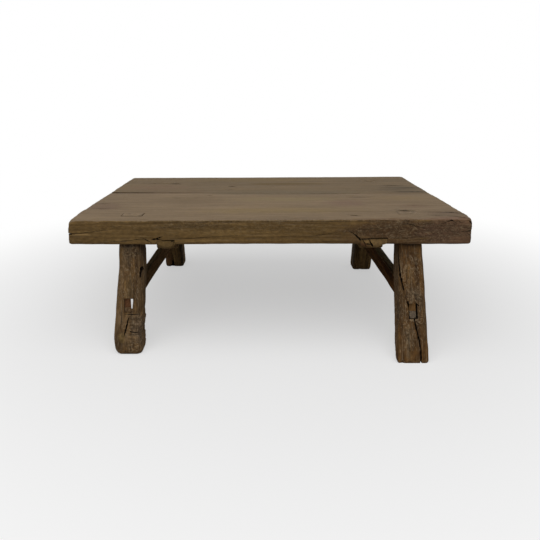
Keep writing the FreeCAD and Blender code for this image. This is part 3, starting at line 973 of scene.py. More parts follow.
# any other crack is a path of (x, y, z, width) on the surface and a depth
frontBoardCracks = (
    onFront(18, (-484, 297, 3.2), (-470, 298, 2.8), (-462, 298.5, 1.6), (-446, 300, 1.4),
        (-401, 306, 1.2), (-372, 308, 0)),
    onFront(7, (-405, 275, 0), (-360, 279, 1.2), (-339, 281, 2), (-311, 283.5, 1.6), (-290, 284.5, 0)),
    onFront(8, (-304, 290, 0), (-293, 284, 2), (-283, 277, 2.6), (-276, 272, 0.4)),
    onFront(5, (-309, 292, 0), (-291, 280, 1.2), (-282, 273, 0)),
    onFront(8, (-284, 283, 0), (-273, 284, 4.6), (-261, 288, 3.4), (-250, 291, 0)),
    onFront(8, (-279, 288, 0), (-269, 285, 3.4), (-260, 282, 3.6), (-250, 281, 1.6)),
    onFront(5, (-221, 284, 0), (-190, 286, 1.3), (-140, 289, 1), (-60, 294, 0.8), (3, 297, 0)),
    onFront(6, (60, 289, 0), (102, 290, 1.2), (141, 296, 1.2), (184, 303, 0)),
    onFront(14, (183, 306, 0), (198, 298, 2.4), (211, 287, 4.2), (221, 278, 4.8), (230, 268, 3.6)),
    onFront(5, (186, 302, 0), (215, 306, 1), (262, 310, 1.1), (300, 314, 0.8), (345, 319, 0)),
    onFront(6, (297, 324, 0), (330, 319, 1.3), (362, 309, 1.2), (400, 303, 0)),
    onFront(6, (432, 322, 0), (444, 326, 1.6), (452, 321, 1.8), (462, 327, 0)),
    ([(468, -300, 327, 0), (474, -298, 322, 5), (477, -296, 317, 3)], 7),
    onFront(12, (446, 299, 0), (458, 301, 2.2), (472, 301.5, 3), (484, 301, 3)),
    onFront(6, (464, 308, 0), (474, 308, 2.6), (484, 308, 2.6)),
    ([(466, -300, 293, 0), (476, -298, 292, 2.4), (482, -298, 291, 2.4)], 6),
    onFront(6, (400, 317, 0), (412, 321, 1.8), (424, 326, 2.4), (431, 328, 0)),
    onFront(6, (421, 329, 1), (428, 328, 3.6), (436, 323, 1.2)),
    onFront(5, (284, 285, 0), (330, 283, 1), (372, 280, 0.8), (410, 281, 0)),
    ([(-480, -250, 296, 0), (-480, -275, 297, 2), (-478, -296, 297, 4)], 14),
    onTop(7, (436, -226, 0), (450, -232, 5), (464, -238, 5), (476, -243, 3)),
    onTop(4, (374, -223, 0), (400, -227, 2.8), (430, -229, 1.8), (446, -231, 0)),
    onTop(6, (426, -263, 0), (446, -272, 4.5), (462, -283, 5), (474, -292, 2)),
    onTop(4, (384, -260, 0), (404, -262, 3.5), (426, -264, 0)),
    onTop(4, (190, -249, 0), (203, -256, 5), (215, -260, 6), (228, -264, 0)),
    onTop(7, (322, -201, 0), (333, -211, 5), (343, -214.5, 9), (354, -214.5, 8), (364, -215, 3),
        (376, -214, 0)),
    onTop(5, (222, -41, 0), (248, -43.5, 5), (266, -44, 6.5), (286, -44, 3), (312, -43, 0)),
    onTop(3, (366, -146, 0), (384, -151, 3), (402, -154, 0)),
    onTop(3, (-280, -42, 0), (-262, -45, 2.6), (-236, -46, 0)),
    onTop(3, (-222, -45, 0), (-206, -46, 3.2), (-190, -46, 0)),
    onTop(3, (-184, -13, 0), (-171, -12, 4), (-160, -12, 0)),
    onTop(3, (-470, -168, 0), (-440, -172, 2.2), (-396, -176, 0)),
    onTop(3, (-474, -112, 0), (-452, -114, 2.2), (-424, -116, 0)),
)

rearBoardCracks = (
    onTop(10, (-120, 131, 4), (-114, 131, 9), (-108, 131, 4)),
    onTop(4, (-110, 129, 0), (-100, 127, 3), (-86, 125, 0)),
    onTop(4, (-138, 78, 0), (-118, 76, 3.6), (-98, 74, 0)),
    onTop(8, (-326, 190, 0), (-314, 185, 5), (-304, 183.5, 8), (-294, 187, 4), (-286, 190, 0)),
    onTop(3, (-430, 200, 0), (-400, 197, 2.6), (-366, 190, 2.6), (-336, 186, 0)),
    onTop(3, (320, 203, 0), (334, 201, 3.4), (352, 201, 2.6), (362, 203, 0)),
    onTop(6, (345, 92, 0), (372, 91, 4), (410, 86, 5), (440, 87, 6.5), (466, 86, 3)),
    onTop(5, (366, 128, 0), (392, 127, 5), (428, 124, 3.6), (450, 121, 0)),
    onTop(7, (366, 30, 0), (400, 28, 4), (436, 25, 7), (470, 23, 5)),
    onTop(4, (330, 62, 0), (366, 60, 3), (396, 58, 2.4), (420, 57, 0)),
)


# the legs

legSizes = {
    # foot and shoulder: the middle line at the floor and under the top. Each outline row is a height, how
    # far the outer and the inner side stand from that line, and how far the front and rear stand.
    # tenon: how far the head tenon sits from the middle line, outwards. headGap: the room in the board
    # at its left, right, front and rear. wear: lumps, ridges along the grain and ripples across it
    "front_left": {
        "foot": (-346, -297.5),
        "shoulder": (-339, -249.5),
        "round": 20,
        "footTurn": 0,
        "outline": (
            (0, 26, 32.4, 26.5), (4, 28.9, 34.2, 30), (8, 31, 34.6, 31.5), (14, 33.2, 33.8, 33),
            (24, 35.2, 32.6, 34.2), (36, 36.7, 31.6, 34.6), (48, 36.9, 29.8, 34.7), (60, 36.3, 31.2, 34.4),
            (72, 35.7, 34.2, 34.2), (84, 35.5, 31.9, 33.9), (96, 34.8, 30.4, 33.4), (108, 34.6, 31.7, 33.2),
            (120, 33.7, 31.8, 33), (135, 32.5, 31.6, 32.9), (150, 31.5, 32.2, 32.8),
            (165, 30.5, 32.9, 32.6), (180, 30.1, 33.1, 32.3), (200, 28.6, 32.6, 32),
            (220, 28.6, 31.5, 31.8), (240, 29.3, 30.6, 31.5), (271, 28.5, 27.5, 31.3),
        ),
        "tenon": 0.5,
        "headGap": (0.9, 2, 3.4, 0.3),
        "wear": (1.3, 0.9, 1.2),
    },
    "front_right": {
        "foot": (341.5, -334.5),
        "shoulder": (342, -251.5),
        "round": 13,
        "footTurn": 8,
        "outline": (
            (0, 30.8, 32, 30.6), (3, 32.4, 35.2, 32.4), (8, 32.9, 37.8, 33.4), (14, 32.9, 38.6, 34),
            (24, 32.9, 38.2, 34.3), (40, 32.7, 36.4, 34.6), (60, 31.9, 34.8, 34.4), (80, 31.9, 33.2, 34.1),
            (100, 31.3, 31.7, 33.8), (120, 31.2, 31.8, 33.4), (140, 30.8, 31.8, 33.2),
            (165, 30.4, 31.9, 32.9), (190, 30.1, 31.6, 32.5), (215, 29.5, 30.8, 32.1),
            (240, 28.5, 29.2, 31.8), (271, 27.7, 26.9, 31.3),
        ),
        "tenon": 1.5,
        "headGap": (0.2, 0.2, 0.3, 0.2),
        "wear": (0.9, 0.7, 0.3),
    },
    "rear_left": {
        "foot": (-342, 325),
        "shoulder": (-337.5, 228),
        "round": 16,
        "footTurn": 0,
        "outline": (
            (0, 31.5, 30.4, 30.6), (4, 32.9, 31.4, 32.6), (10, 33.4, 32, 34.2), (20, 32.7, 32.2, 35.2),
            (40, 32.4, 32.4, 35.6), (100, 32, 33, 35.1), (180, 30.8, 32, 34.4), (271, 28.8, 28.8, 33.1),
        ),
        "tenon": -2,
        "headGap": (0.3, 0.3, 0.3, 0.2),
        "wear": (1, 0.7, 0.4),
    },
    "rear_right": {
        "foot": (339, 286),
        "shoulder": (340.5, 232),
        "round": 14,
        "footTurn": 0,
        "outline": (
            (0, 29.8, 30.5, 30.2), (4, 30.8, 31.2, 32), (10, 31.8, 31.5, 33.2), (20, 32.5, 31.6, 33.6),
            (40, 33.3, 31.9, 33.5), (100, 32.2, 30.6, 33), (180, 30.4, 29.4, 32), (271, 27.9, 27.7, 30.8),
        ),
        "tenon": -1,
        "headGap": (0.4, 0.3, 0.5, 0.4),
        "wear": (1, 0.7, 0.3),
    },
}
# how far the feet may reach to the front and to the rear, and how far a mortise goes through its board
legLimits = (-365.3, 357.2)
mortiseReach = {"below": 8, "above": 6}
# the head tenons: below is how far they start under the boards, short how far they end under the top
tenonSizes = {"halfWidth": 25, "halfDepth": 13.5, "below": 8, "short": 0.2}


def legMiddle(leg, z):
    share = z / topSizes["low"]
    return tuple(leg["foot"][axis] + (leg["shoulder"][axis] - leg["foot"][axis]) * share for axis in (0, 1))


def legBlank(leg, side, counts):
    # the hewn body of a leg, from the floor to just inside the top
    blank = gridBlock((-1, -1, 0), (1, 1, topSizes["low"] + 1), counts, (0.25, 0.25, 0.1))
    for vert in blank.verts:
        z = vert.co.z
        middle = legMiddle(leg, z)
        outer, inner, depth = (readTable(leg["outline"], z, column) for column in (1, 2, 3))
        left = middle[0] - (outer if side < 0 else inner)
        right = middle[0] + (inner if side < 0 else outer)
        low, high = (left, middle[1] - depth), (right, middle[1] + depth)
        x = left + (right - left) * (vert.co.x + 1) / 2
        y = low[1] + (high[1] - low[1]) * (vert.co.y + 1) / 2
        innerShare = (1 - side * vert.co.x) / 2
        x += side * innerShare * vert.co.y * leg["footTurn"] * soft(110, 10, z)
        radius = leg["round"] * (0.65 + 0.35 * soft(0, 60, z))
        vert.co.x, vert.co.y = roundPlan(x, y, low, high, radius)[:2]
    return blank


def headBlock(leg, low, high, room=(0.0, 0.0, 0.0, 0.0), counts=(1, 1, 1)):
    # the space of the leg's head tenon between two heights, with room at its left, right, front and rear
    block = gridBlock((-1, -1, low), (1, 1, high), counts)
    side = 1 if leg["foot"][0] > 0 else -1
    for vert in block.verts:
        middle = legMiddle(leg, vert.co.z)
        roomX, roomY = room[0 if vert.co.x < 0 else 1], room[2 if vert.co.y < 0 else 3]
        vert.co.x = middle[0] + side * leg["tenon"] + vert.co.x * (tenonSizes["halfWidth"] + roomX)
        vert.co.y = middle[1] + vert.co.y * (tenonSizes["halfDepth"] + roomY)
    return block


print("making the boards")
frontBoard, rearBoard = makeBoard(True), makeBoard(False)
chipEdge(frontBoard, frontChips)
sculpt(frontBoard, frontForms)
for name, leg in legSizes.items():
    low, high = topSizes["low"] - mortiseReach["below"], topSizes["high"] + mortiseReach["above"]
    mortise = headBlock(leg, low, high, leg["headGap"])
    carve(frontBoard if "front" in name else rearBoard, darkInside(mortise))
crack(frontBoard, frontBoardCracks, 1.0)
crack(rearBoard, rearBoardCracks, 40.0)

boardMaterial = timberMaterial(boardLook, "topTimber")
rearBoardMaterial = timberMaterial(rearBoardLook, "rearTopTimber")


# battens

battenSizes = {
    # bar: how far it reaches to the left and right of x. noseLow: the underside of the nose, from x on.
    # notch: the upper edge of the notch that the nose sits in
    "left": {
        "x": -246,
        "bar": (29, 23),
        "noseLow": (
            (-22, 269), (-19, 266), (-12, 262.4), (-4, 260.8), (4, 260.6), (11, 261.8), (16, 264.6),
            (20, 269),
        ),
        "noseHalf": 21,
        "noseRough": 0.15,
        "noseTop": 278.6,
        "notch": ((-268, 279.2), (-253, 279.6), (-246, 281.8), (-222, 282.2)),
    },
    "right": {
        "x": 249,
        "bar": (29, 29),
        "noseLow": (
            (-31, 267), (-24, 264), (-14, 262), (0, 261.6), (8, 262), (14, 264.8), (20, 267.4), (26, 269.4),
            (31, 270.6),
        ),
        "noseHalf": 31,
        "noseRough": 0.5,
        "noseTop": 281.6,
        "notch": ((218, 284), (250, 284.8), (281, 284.4)),
    },
}
# what both battens share: the bar under the boards, the dovetail tongue and its groove in the boards, with
# their half widths below and above, and the rounded nose in its notch in the front edge
barSizes = {"front": -272, "rear": 297, "low": 251, "high": 270.2, "round": 5, "arris": 4.5}
tongueSizes = {"front": -267, "rear": 298, "low": 264, "high": 280.2, "halves": (20.8, 24.8)}
grooveSizes = {"front": -266, "rear": 310, "low": 262, "high": 280.6, "halves": (21.3, 25.3)}
noseSizes = {"front": -300.6, "rear": -268, "low": 0, "high": 1, "round": 2.2}
notchSizes = {"front": -310, "rear": -265, "low": 255, "high": 290, "room": 0.6}
battenCracks = {
    "left": (
        ([(-228, -301, 281, 1.2), (-227, -301, 274, 1.6), (-229, -301, 267, 0.6)], 5),
    ),
    "right": (
        ([(236, -301, 282, 2.4), (240, -301, 276, 3.4), (244, -301, 268, 4.2), (247, -301, 261, 3.6)], 16),
        ([(222, -301, 281, 1.6), (227, -301, 273, 3), (231, -301, 264, 3)], 9),
        ([(228, -301, 271, 0), (234, -301, 270.5, 4), (240, -301, 270, 3)], 8),
    ),
}


def barBlock(left, right, sizes, counts, crowding=zero):
    corners = (left, sizes["front"], sizes["low"]), (right, sizes["rear"], sizes["high"])
    return gridBlock(*corners, counts, crowding)


def dovetail(x, sizes, counts):
    # a bar that is wider above the boards' underside than below it
    lower, upper = sizes["halves"]
    shape = barBlock(x - upper, x + upper, sizes, counts)
    for vert in shape.verts:
        if vert.co.z < topSizes["low"]:
            vert.co.x = x + math.copysign(lower, vert.co.x - x)
    return shape


def battenNotch(batten):
    # what is cut from the boards: the groove for the tongue and the wider notch for the nose
    x, sizes = batten["x"], notchSizes
    groove = dovetail(x, grooveSizes, (1, 1, 1))
    half = batten["noseHalf"] + sizes["room"]
    notch = barBlock(x - half, x + half, sizes, (16, 1, 1))
    for vert in notch.verts:
        if vert.co.z > sizes["low"] + 1:
            vert.co.z = readTable(batten["notch"], vert.co.x) + 0.7 * lumps(vert.co, (12, 40, 40), 3.0)
    carve(groove, notch, "UNION")
    return darkInside(groove)


def makeBatten(batten):
    x, sizes = batten["x"], barSizes
    low, high = (x - batten["bar"][0], sizes["front"]), (x + batten["bar"][1], sizes["rear"])
    bar = barBlock(low[0], high[0], sizes, (14, 120, 10), (0.4, 0.1, 0.4))
    for vert in bar.verts:
        vert.co.x, vert.co.y, way, level = roundPlan(vert.co.x, vert.co.y, low, high, sizes["round"])
        if level > 0 and vert.co.z < (sizes["low"] + sizes["high"]) / 2:
            roundArris(vert.co, way, level, sizes["round"], sizes["arris"], sizes["low"], sizes["high"])
    pushOut(bar, lambda place, normal: 0.7 * lumps(place, (30, 80, 14), 4.1) if normal.z < 0.5 else 0.0)
    carve(bar, dovetail(x, tongueSizes, (1, 4, 1)), "UNION")
    half = batten["noseHalf"]
    # the nose is one high at first, and is then stretched to its curved underside
    nose = barBlock(x - half, x + half, noseSizes, (26, 22, 16), (0.3, 0.3, 0.3))
    for vert in nose.verts:
        lowest = readTable(batten["noseLow"], vert.co.x - x)
        vert.co.z = lowest + (batten["noseTop"] - lowest) * vert.co.z
        front = soft(6, 0, vert.co.y - noseSizes["front"])
        lift = soft(5, 0, vert.co.z - lowest)
        vert.co.y += noseSizes["round"] * front * lift

    def wornNose(place, normal):
        rough = lumps(place, (9, 9, 6), 5.6) + 0.5 * lumps(place, (26, 20, 3), 2.6)
        return batten["noseRough"] * rough

    pushOut(nose, wornNose)
    carve(bar, nose, "UNION")
    return bar


for name, batten in battenSizes.items():
    carve(frontBoard, battenNotch(batten))
    carve(rearBoard, battenNotch(batten))
battenLook = dict(
    rearLegLook,
    pith=(40, -40),
    patches=(
        ((-246, -306, 268), (60, 34, 60), 0.3, 1, tone(118, 93, 53)),
        ((262, -306, 270), (24, 34, 60), 0.3, 1, tone(142, 113, 70)),
        ((233, -301, 276), (10, 20, 5), 0.5, 0.9, tone(160, 126, 78)),
        ((222, -300, 266), (16, 20, 12), 0.5, 0.9, tone(108, 74, 44)),
    ),
)
battenMaterial = timberMaterial(battenLook, "battenTimber", (0, 0, -quarter))
for name, batten in battenSizes.items():
    bar = makeBatten(batten)
    crack(bar, battenCracks[name], 6.0)
    node = "batten_" + name
    settle(bar, node + "_piece", (battenMaterial, crackShadeAndDirt), (node,))

settle(frontBoard, "front_board_piece", (boardMaterial, crackShadeAndDirt), ("front_board",))
settle(rearBoard, "rear_board_piece", (rearBoardMaterial, crackShadeAndDirt), ("rear_board",))
print("boards and battens done")


# stretchers, with a tenon through both of their legs

stretcherSizes = {
    # sag: how far the rail hangs at its rear end, and how far it moves inwards there. slack: the open room
    # beside the front tenon, on its outer and its inner side. wedge: how thick the wedge is outside
    "left": {
        "x": -342.3, "width": 18.5, "low": 103.4, "high": 144, "arris": 4, "sag": (3.5, 2),
        "tenonX": -343.7, "tenonWidth": 15.7, "tenonLow": 115, "tenonHigh": 136, "tenonRound": 1.2,
        "wedge": 11, "wedgeRound": 1.5, "slack": (0.4, 0.6), "wornTop": False,
    },
    "right": {
        "x": 341.7, "width": 25.5, "low": 104.5, "high": 149, "arris": 5, "sag": (2.5, 1),
        "tenonX": 338.7, "tenonWidth": 15, "tenonLow": 115, "tenonHigh": 131.5, "tenonRound": 3.2,
        "wedge": 16, "wedgeRound": 5, "slack": (4.2, 2.4), "wornTop": True,
    },
}
# how far the tenon ends inside the front and the rear face of the legs
tenonRecess = (1.8, 3.0)
# room in the leg over the tenon and under the wedge, and beside them at the rear leg. The cutter starts
# outside the face of the leg and ends behind its middle line
mortiseRoom = {"upper": 0.6, "lower": 0.6, "rearSides": (0.5, 0.5), "outside": 20, "behind": 60}
footWedgeSizes = {"recess": 1.5, "length": 46, "tip": 4, "gap": 0.2}


def legFace(leg, z, end):
    # the y of the leg's front (end -1) or rear (end 1) face at a height
    return legMiddle(leg, z)[1] + end * readTable(leg["outline"], z, 3)


def makeStretcher(name, sizes):
    front, rear = legSizes["front_" + name], legSizes["rear_" + name]
    level = (sizes["low"] + sizes["high"]) / 2
    half = sizes["width"] / 2
    low, high = (sizes["x"] - half, sizes["low"]), (sizes["x"] + half, sizes["high"])
    startY, endY = legMiddle(front, level)[1], legMiddle(rear, level)[1]
    rail = gridBlock((low[0], startY, low[1]), (high[0], endY, high[1]), (10, 150, 18), (0.4, 0, 0.4))
    inner = -1 if sizes["x"] > 0 else 1

    def wornRail(place, normal):
        out = 0.8 * lumps(place, (30, 70, 26), 2.4) + 0.35 * lumps(place, (8, 26, 5), 6.1)
        if sizes["wornTop"] and normal.x * inner > 0.2 and place.z > sizes["high"] - 16:
            hollow = 2.2 + 2.0 * lumps(place, (40, 45, 40), 8.1)
            out -= hollow * soft(sizes["high"] - 15, sizes["high"] - 4, place.z)
        return out

    for vert in rail.verts:
        x, z = roundPlan(vert.co.x, vert.co.z, low, high, sizes["arris"])[:2]
        share = soft(-120, 160, vert.co.y)
        z -= sizes["sag"][0] * share * soft(sizes["high"], sizes["low"], z)
        x += inner * sizes["sag"][1] * share * soft(-half, half, inner * (x - sizes["x"]))
        vert.co.x, vert.co.z = x, z
    pushOut(rail, wornRail)
    left, right = sizes["tenonX"] - sizes["tenonWidth"] / 2, sizes["tenonX"] + sizes["tenonWidth"] / 2
    frontFace = legFace(front, sizes["tenonHigh"], -1)
    frontEnd = frontFace + tenonRecess[0]
    rearEnd = legFace(rear, sizes["tenonHigh"], 1) - tenonRecess[1]
    corners = (left, frontEnd, sizes["tenonLow"]), (right, rearEnd, sizes["tenonHigh"])
    tenon = gridBlock(*corners, (6, 160, 8), (0.3, 0.0, 0.3))
    for vert in tenon.verts:
        # the front end leans as the leg does, and only the upper edges are round
        vert.co.y += (legFace(front, vert.co.z, -1) - frontFace) * soft(60, 0, vert.co.y - frontEnd)
        corners = (left, sizes["tenonLow"] - 8), (right, sizes["tenonHigh"])
        vert.co.x, vert.co.z = roundPlan(vert.co.x, vert.co.z, *corners, sizes["tenonRound"])[:2]
    pushOut(tenon, lambda place, normal: 0.35 * lumps(place, (7, 9, 5), 3.9))
    carve(rail, tenon, "UNION")
    return rail


def makeFootWedge(sizes, leg, end):
    # the wedge driven under the tenon from outside; only its lower edges are round
    left, right = sizes["tenonX"] - sizes["tenonWidth"] / 2, sizes["tenonX"] + sizes["tenonWidth"] / 2
    face = legFace(leg, sizes["tenonLow"], end)
    top = sizes["tenonLow"] - footWedgeSizes["gap"]
    low, high = sorted((face - end * footWedgeSizes["recess"], face - end * footWedgeSizes["length"]))
    wedge = gridBlock((left, low, 0), (right, high, 1), (8, 20, 8), (0.3, 0.3, 0.3))
    for vert in wedge.verts:
        inside = abs(vert.co.y - face)
        share = min(inside / footWedgeSizes["length"], 1.0)
        thick = sizes["wedge"] - (sizes["wedge"] - footWedgeSizes["tip"]) * share
        z = top - thick * (1 - vert.co.z)
        corners = (left, top - thick), (right, top + 8)
        vert.co.x, vert.co.z = roundPlan(vert.co.x, z, *corners, min(sizes["wedgeRound"], thick / 2))[:2]
        vert.co.y += (legFace(leg, z, end) - face) * soft(40, 0, inside)
    pushOut(wedge, lambda place, normal: 0.4 * lumps(place, (5, 7, 4), 7.2))
    return wedge


# finishing the legs

legCracks = {
    "front_left": (
        ([(-304, -280, 204, 3), (-308, -282, 207.5, 10), (-312, -284, 203, 13), (-314, -287, 196, 10),
          (-315, -289, 187, 5), (-316, -291, 180, 0)], 15),
        ([(-341, -314, 93, 0), (-343, -315, 86, 3.6), (-347, -319, 68, 4.6), (-351, -323, 53, 3.6),
          (-354, -324, 45, 0)], 12),
        ([(-340, -321, 60, 0), (-338, -321, 58, 4), (-331, -322, 56, 3), (-321, -321, 54, 3),
          (-316, -318, 55, 0)], 6),
        ([(-354, -313, 97, 0), (-345, -313, 99, 2.2), (-334, -313, 98, 3.2), (-322, -312, 97, 1.8),
          (-314, -305, 95, 0)], 5),
        ([(-326, -300, 196, 0), (-329, -305, 170, 1), (-327, -309, 142, 1.4), (-328, -311, 136, 1)], 5),
        ([(-352, -296, 214, 0), (-353, -303, 180, 1), (-354, -308, 150, 0)], 4),
        ([(-356, -312, 122, 0), (-359, -316, 96, 1.2), (-361, -320, 70, 1.4), (-360, -323, 54, 0)], 5),
        ([(-346, -286, 262, 0), (-350, -288, 248, 1), (-347, -290, 236, 0)], 3),
        ([(-330, -326, 34, 0), (-318, -325, 30, 1.4), (-312, -318, 34, 0)], 4),
        ([(-334, -328, 16, 0), (-322, -328, 13, 1.2), (-314, -322, 18, 0)], 4),
    ),
    "front_right": (
        ([(312, -266, 271, 1.2), (312, -272, 259, 2), (311.5, -288, 228, 4), (312.5, -294, 214, 5.4),
          (314, -303, 194, 6), (318, -315, 167, 5), (320, -318, 160, 0.6)], 14),
        ([(319, -317, 162, 0), (321.5, -321, 151, 0.9), (326, -325, 138, 1.6), (328.5, -328, 131, 3)], 8),
        ([(328.5, -328, 133, 3), (329.5, -330, 127, 4), (329.5, -331, 121, 0)], 7),
        ([(339, -329, 135, 0), (345, -328, 136.5, 3.6), (350, -330, 131, 3)], 7),
        ([(341, -339, 99, 4), (344.6, -345, 80, 4.6), (350.5, -352, 55, 4.8), (354, -359, 30, 4.8),
          (354, -366, 4, 4.6)], 16),
        ([(328, -294, 236, 0), (330, -302, 212, 1), (329, -309, 188, 0)], 4),
        ([(350, -292, 244, 0), (351, -303, 210, 1), (354, -312, 180, 0)], 4),
        ([(362, -326, 130, 0), (364, -332, 104, 1.2), (363, -340, 76, 0)], 5),
        ([(331, -347, 70, 0), (326, -350, 54, 1.2), (329, -358, 30, 1), (334, -361, 18, 0)], 4),
    ),
    "rear_left": (
        ([(-340, 268, 84, 0), (-343, 274, 54, 1.6), (-345, 281, 27, 4), (-346, 285, 15, 10),
          (-346, 288, 8, 18), (-346, 290, 0.5, 26)], 30),
    ),
    "rear_right": (
        ([(332, 252, 12, 0), (332.5, 254, 2, 3.6)], 6),
        ([(352, 240, 90, 0), (350, 246, 50, 1.4), (351, 250, 24, 0)], 4),
    ),
}
# low ridges and hollows worked into the surface: a path, a half width and a height
legForms = {
    "front_left": (
        ([(-336, -313, 92), (-325, -312, 90), (-312, -300, 90)], 5, 1.6),
        ([(-352, -313, 101), (-334, -312, 102), (-316, -305, 102)], 3, -1.2),
        ([(-338, -322, 53), (-330, -323, 51), (-320, -321, 50)], 3, 1.2),
        ([(-331, -318, 74), (-322, -316, 72), (-314, -308, 74)], 3.2, 1.3),
        ([(-328, -320, 66), (-318, -316, 64)], 2.2, -0.9),
        ([(-330, -324, 38), (-318, -321, 40), (-312, -314, 42)], 3.4, 1.2),
        ([(-332, -326, 24), (-320, -326, 22), (-312, -318, 26)], 3.2, 1.1),
        ([(-328, -328, 12), (-318, -325, 12)], 3, 0.8),
        ([(-346, -315, 92), (-351, -321, 70), (-355, -325, 50)], 4, 1),
        ([(-362, -323, 42)], 9, 1.2),
        ([(-358, -290, 230), (-360, -300, 180), (-362, -308, 130)], 5, -1),
        ([(-337, -286, 252)], 7, 1.6),
        ([(-317, -283, 247)], 5, 1.2),
        ([(-309, -279, 15)], 14, -2),
        ([(-306, -275, 76)], 12, -1.4),
        ([(-325, -292, 226), (-324, -300, 200), (-323, -306, 170)], 5, 1.2),
        ([(-340, -296, 214), (-341, -303, 180), (-340, -308, 150)], 6, 0.8),
    ),
    "front_right": (
        ([(324, -295, 222), (325, -308, 190), (328, -317, 165)], 4, 1),
        ([(335, -320, 152), (342, -320, 156), (350, -319, 152)], 3.5, 1.6),
        ([(332, -322, 144), (338, -322, 141)], 3, 1.2),
        ([(348, -322, 143), (356, -321, 146)], 3, 1.2),
        ([(326, -334, 100), (332, -338, 93), (342, -340, 92), (352, -338, 97)], 2.2, 1.6),
        ([(320, -345, 76), (318, -350, 54), (322, -356, 32)], 4, 1),
        ([(332, -345, 78), (335, -351, 56), (332, -358, 30)], 4, 1),
        ([(360, -300, 230), (362, -312, 196)], 5, -0.8),
    ),
    "rear_left": (
        ([(-345, 288, 0), (-345, 278, 18)], 4.5, -5),
        ([(-345, 272, 60), (-345, 278, 36)], 6, -1.8),
        ([(-358, 284, 14)], 10, 2),
        ([(-330, 286, 14)], 10, 2),
    ),
    "rear_right": (
        ([(333, 253, 2)], 4, -1.6),
    ),
}


def makeLeg(name, leg):
    side = 1 if leg["foot"][0] > 0 else -1
    end = -1 if "front" in name else 1
    sizes = stretcherSizes["right" if side > 0 else "left"]
    # the front legs are nearer to the camera, so they get more faces
    blank = legBlank(leg, side, (60, 60, 210) if end < 0 else (44, 44, 150))
    lump, ridge, ripple = leg["wear"]
    seed = 3.1 * list(legSizes).index(name)

    def hewn(place, normal):
        if place.z < 0.5 or place.z > topSizes["low"] - 2:
            return 0.0
        # the ripples lie low on the leg and on its inner part
        near = soft(118, 100, place.z) * soft(2, 20, place.z) * soft(-352, -336, side * -place.x)
        out = lump * lumps(place, (34, 34, 70), seed) + ridge * lumps(place, (7, 7, 60), seed + 2)
        bark = lumps(place, (26, 26, 6.5), seed + 5) + 0.6 * lumps(place, (12, 12, 3.6), seed + 6)
        return (out + ripple * near * bark) * soft(0, 8, place.z)

    pushOut(blank, hewn)
    sculpt(blank, legForms[name])
    for vert in blank.verts:
        vert.co.y = min(max(vert.co.y, legLimits[0]), legLimits[1])
        vert.co.z = max(vert.co.z, 0.0)
    low, high = topSizes["low"] - tenonSizes["below"], topSizes["high"] - tenonSizes["short"]
    head = headBlock(leg, low, high, counts=(10, 6, 14))
    head.normal_update()
    # the head's sides, inside the board, take the painted shade of cracks
    for face in head.faces:
        face.material_index = 0 if abs(face.normal.z) > 0.7 else 1
    carve(blank, head, "UNION")
    half = sizes["tenonWidth"] / 2
    outer, inner = sizes["slack"] if end < 0 else mortiseRoom["rearSides"]
    edges = sorted((sizes["tenonX"] + side * (half + outer), sizes["tenonX"] - side * (half + inner)))
    faceY = legFace(leg, sizes["tenonLow"], end)
    middleY = legMiddle(leg, sizes["tenonLow"])[1]
    low, high = sorted((faceY + end * mortiseRoom["outside"], middleY - end * mortiseRoom["behind"]))
    bottom = sizes["tenonLow"] - sizes["wedge"] - mortiseRoom["lower"]
    top = sizes["tenonHigh"] + mortiseRoom["upper"]
    hole = darkInside(gridBlock((edges[0], low, bottom), (edges[1], high, top), (6, 30, 10)))
    pushOut(hole, lambda place, normal: 0.5 * lumps(place, (8, 12, 6), seed + 1))
    carve(blank, hole)
    if name == "front_left":
        carve(blank, slantedSlot(leg, **legSlot))
    crack(blank, legCracks[name], seed)
    return blank


# the worn slot beside the left front tenon, which light passes through: what the leg has of it, and what
# the rail and the wedge have. It follows the line of sight, with the slopes of x and z over y
legSlot = {"width": 5.2, "height": 26, "length": 110, "taper": 2.6}
railSlot = {"width": 18.5, "height": 84, "length": 74, "taper": 0}
slotSlopes = (0.294, 0.453)
# how far the slot starts in front of the face of the leg
slotStart = 12


def slantedSlot(leg, width, height, length, taper):
    sizes = stretcherSizes["left"]
    start = sizes["tenonX"] + sizes["tenonWidth"] / 2
    top = sizes["tenonHigh"] + 0.4
    face = legFace(leg, top, -1)
    slot = gridBlock((start - 0.1, 0, top - height), (start + width, 1, top), (3, 30, 8))
    for vert in slot.verts:
        narrowing = soft(top - 4, top - height, vert.co.z) * soft(start, start + width, vert.co.x)
        vert.co.x -= narrowing * taper
        reach = -slotStart + (length + slotStart) * vert.co.y
        vert.co.x -= slotSlopes[0] * reach
        vert.co.z -= slotSlopes[1] * reach
        vert.co.y = face + reach
    return slot


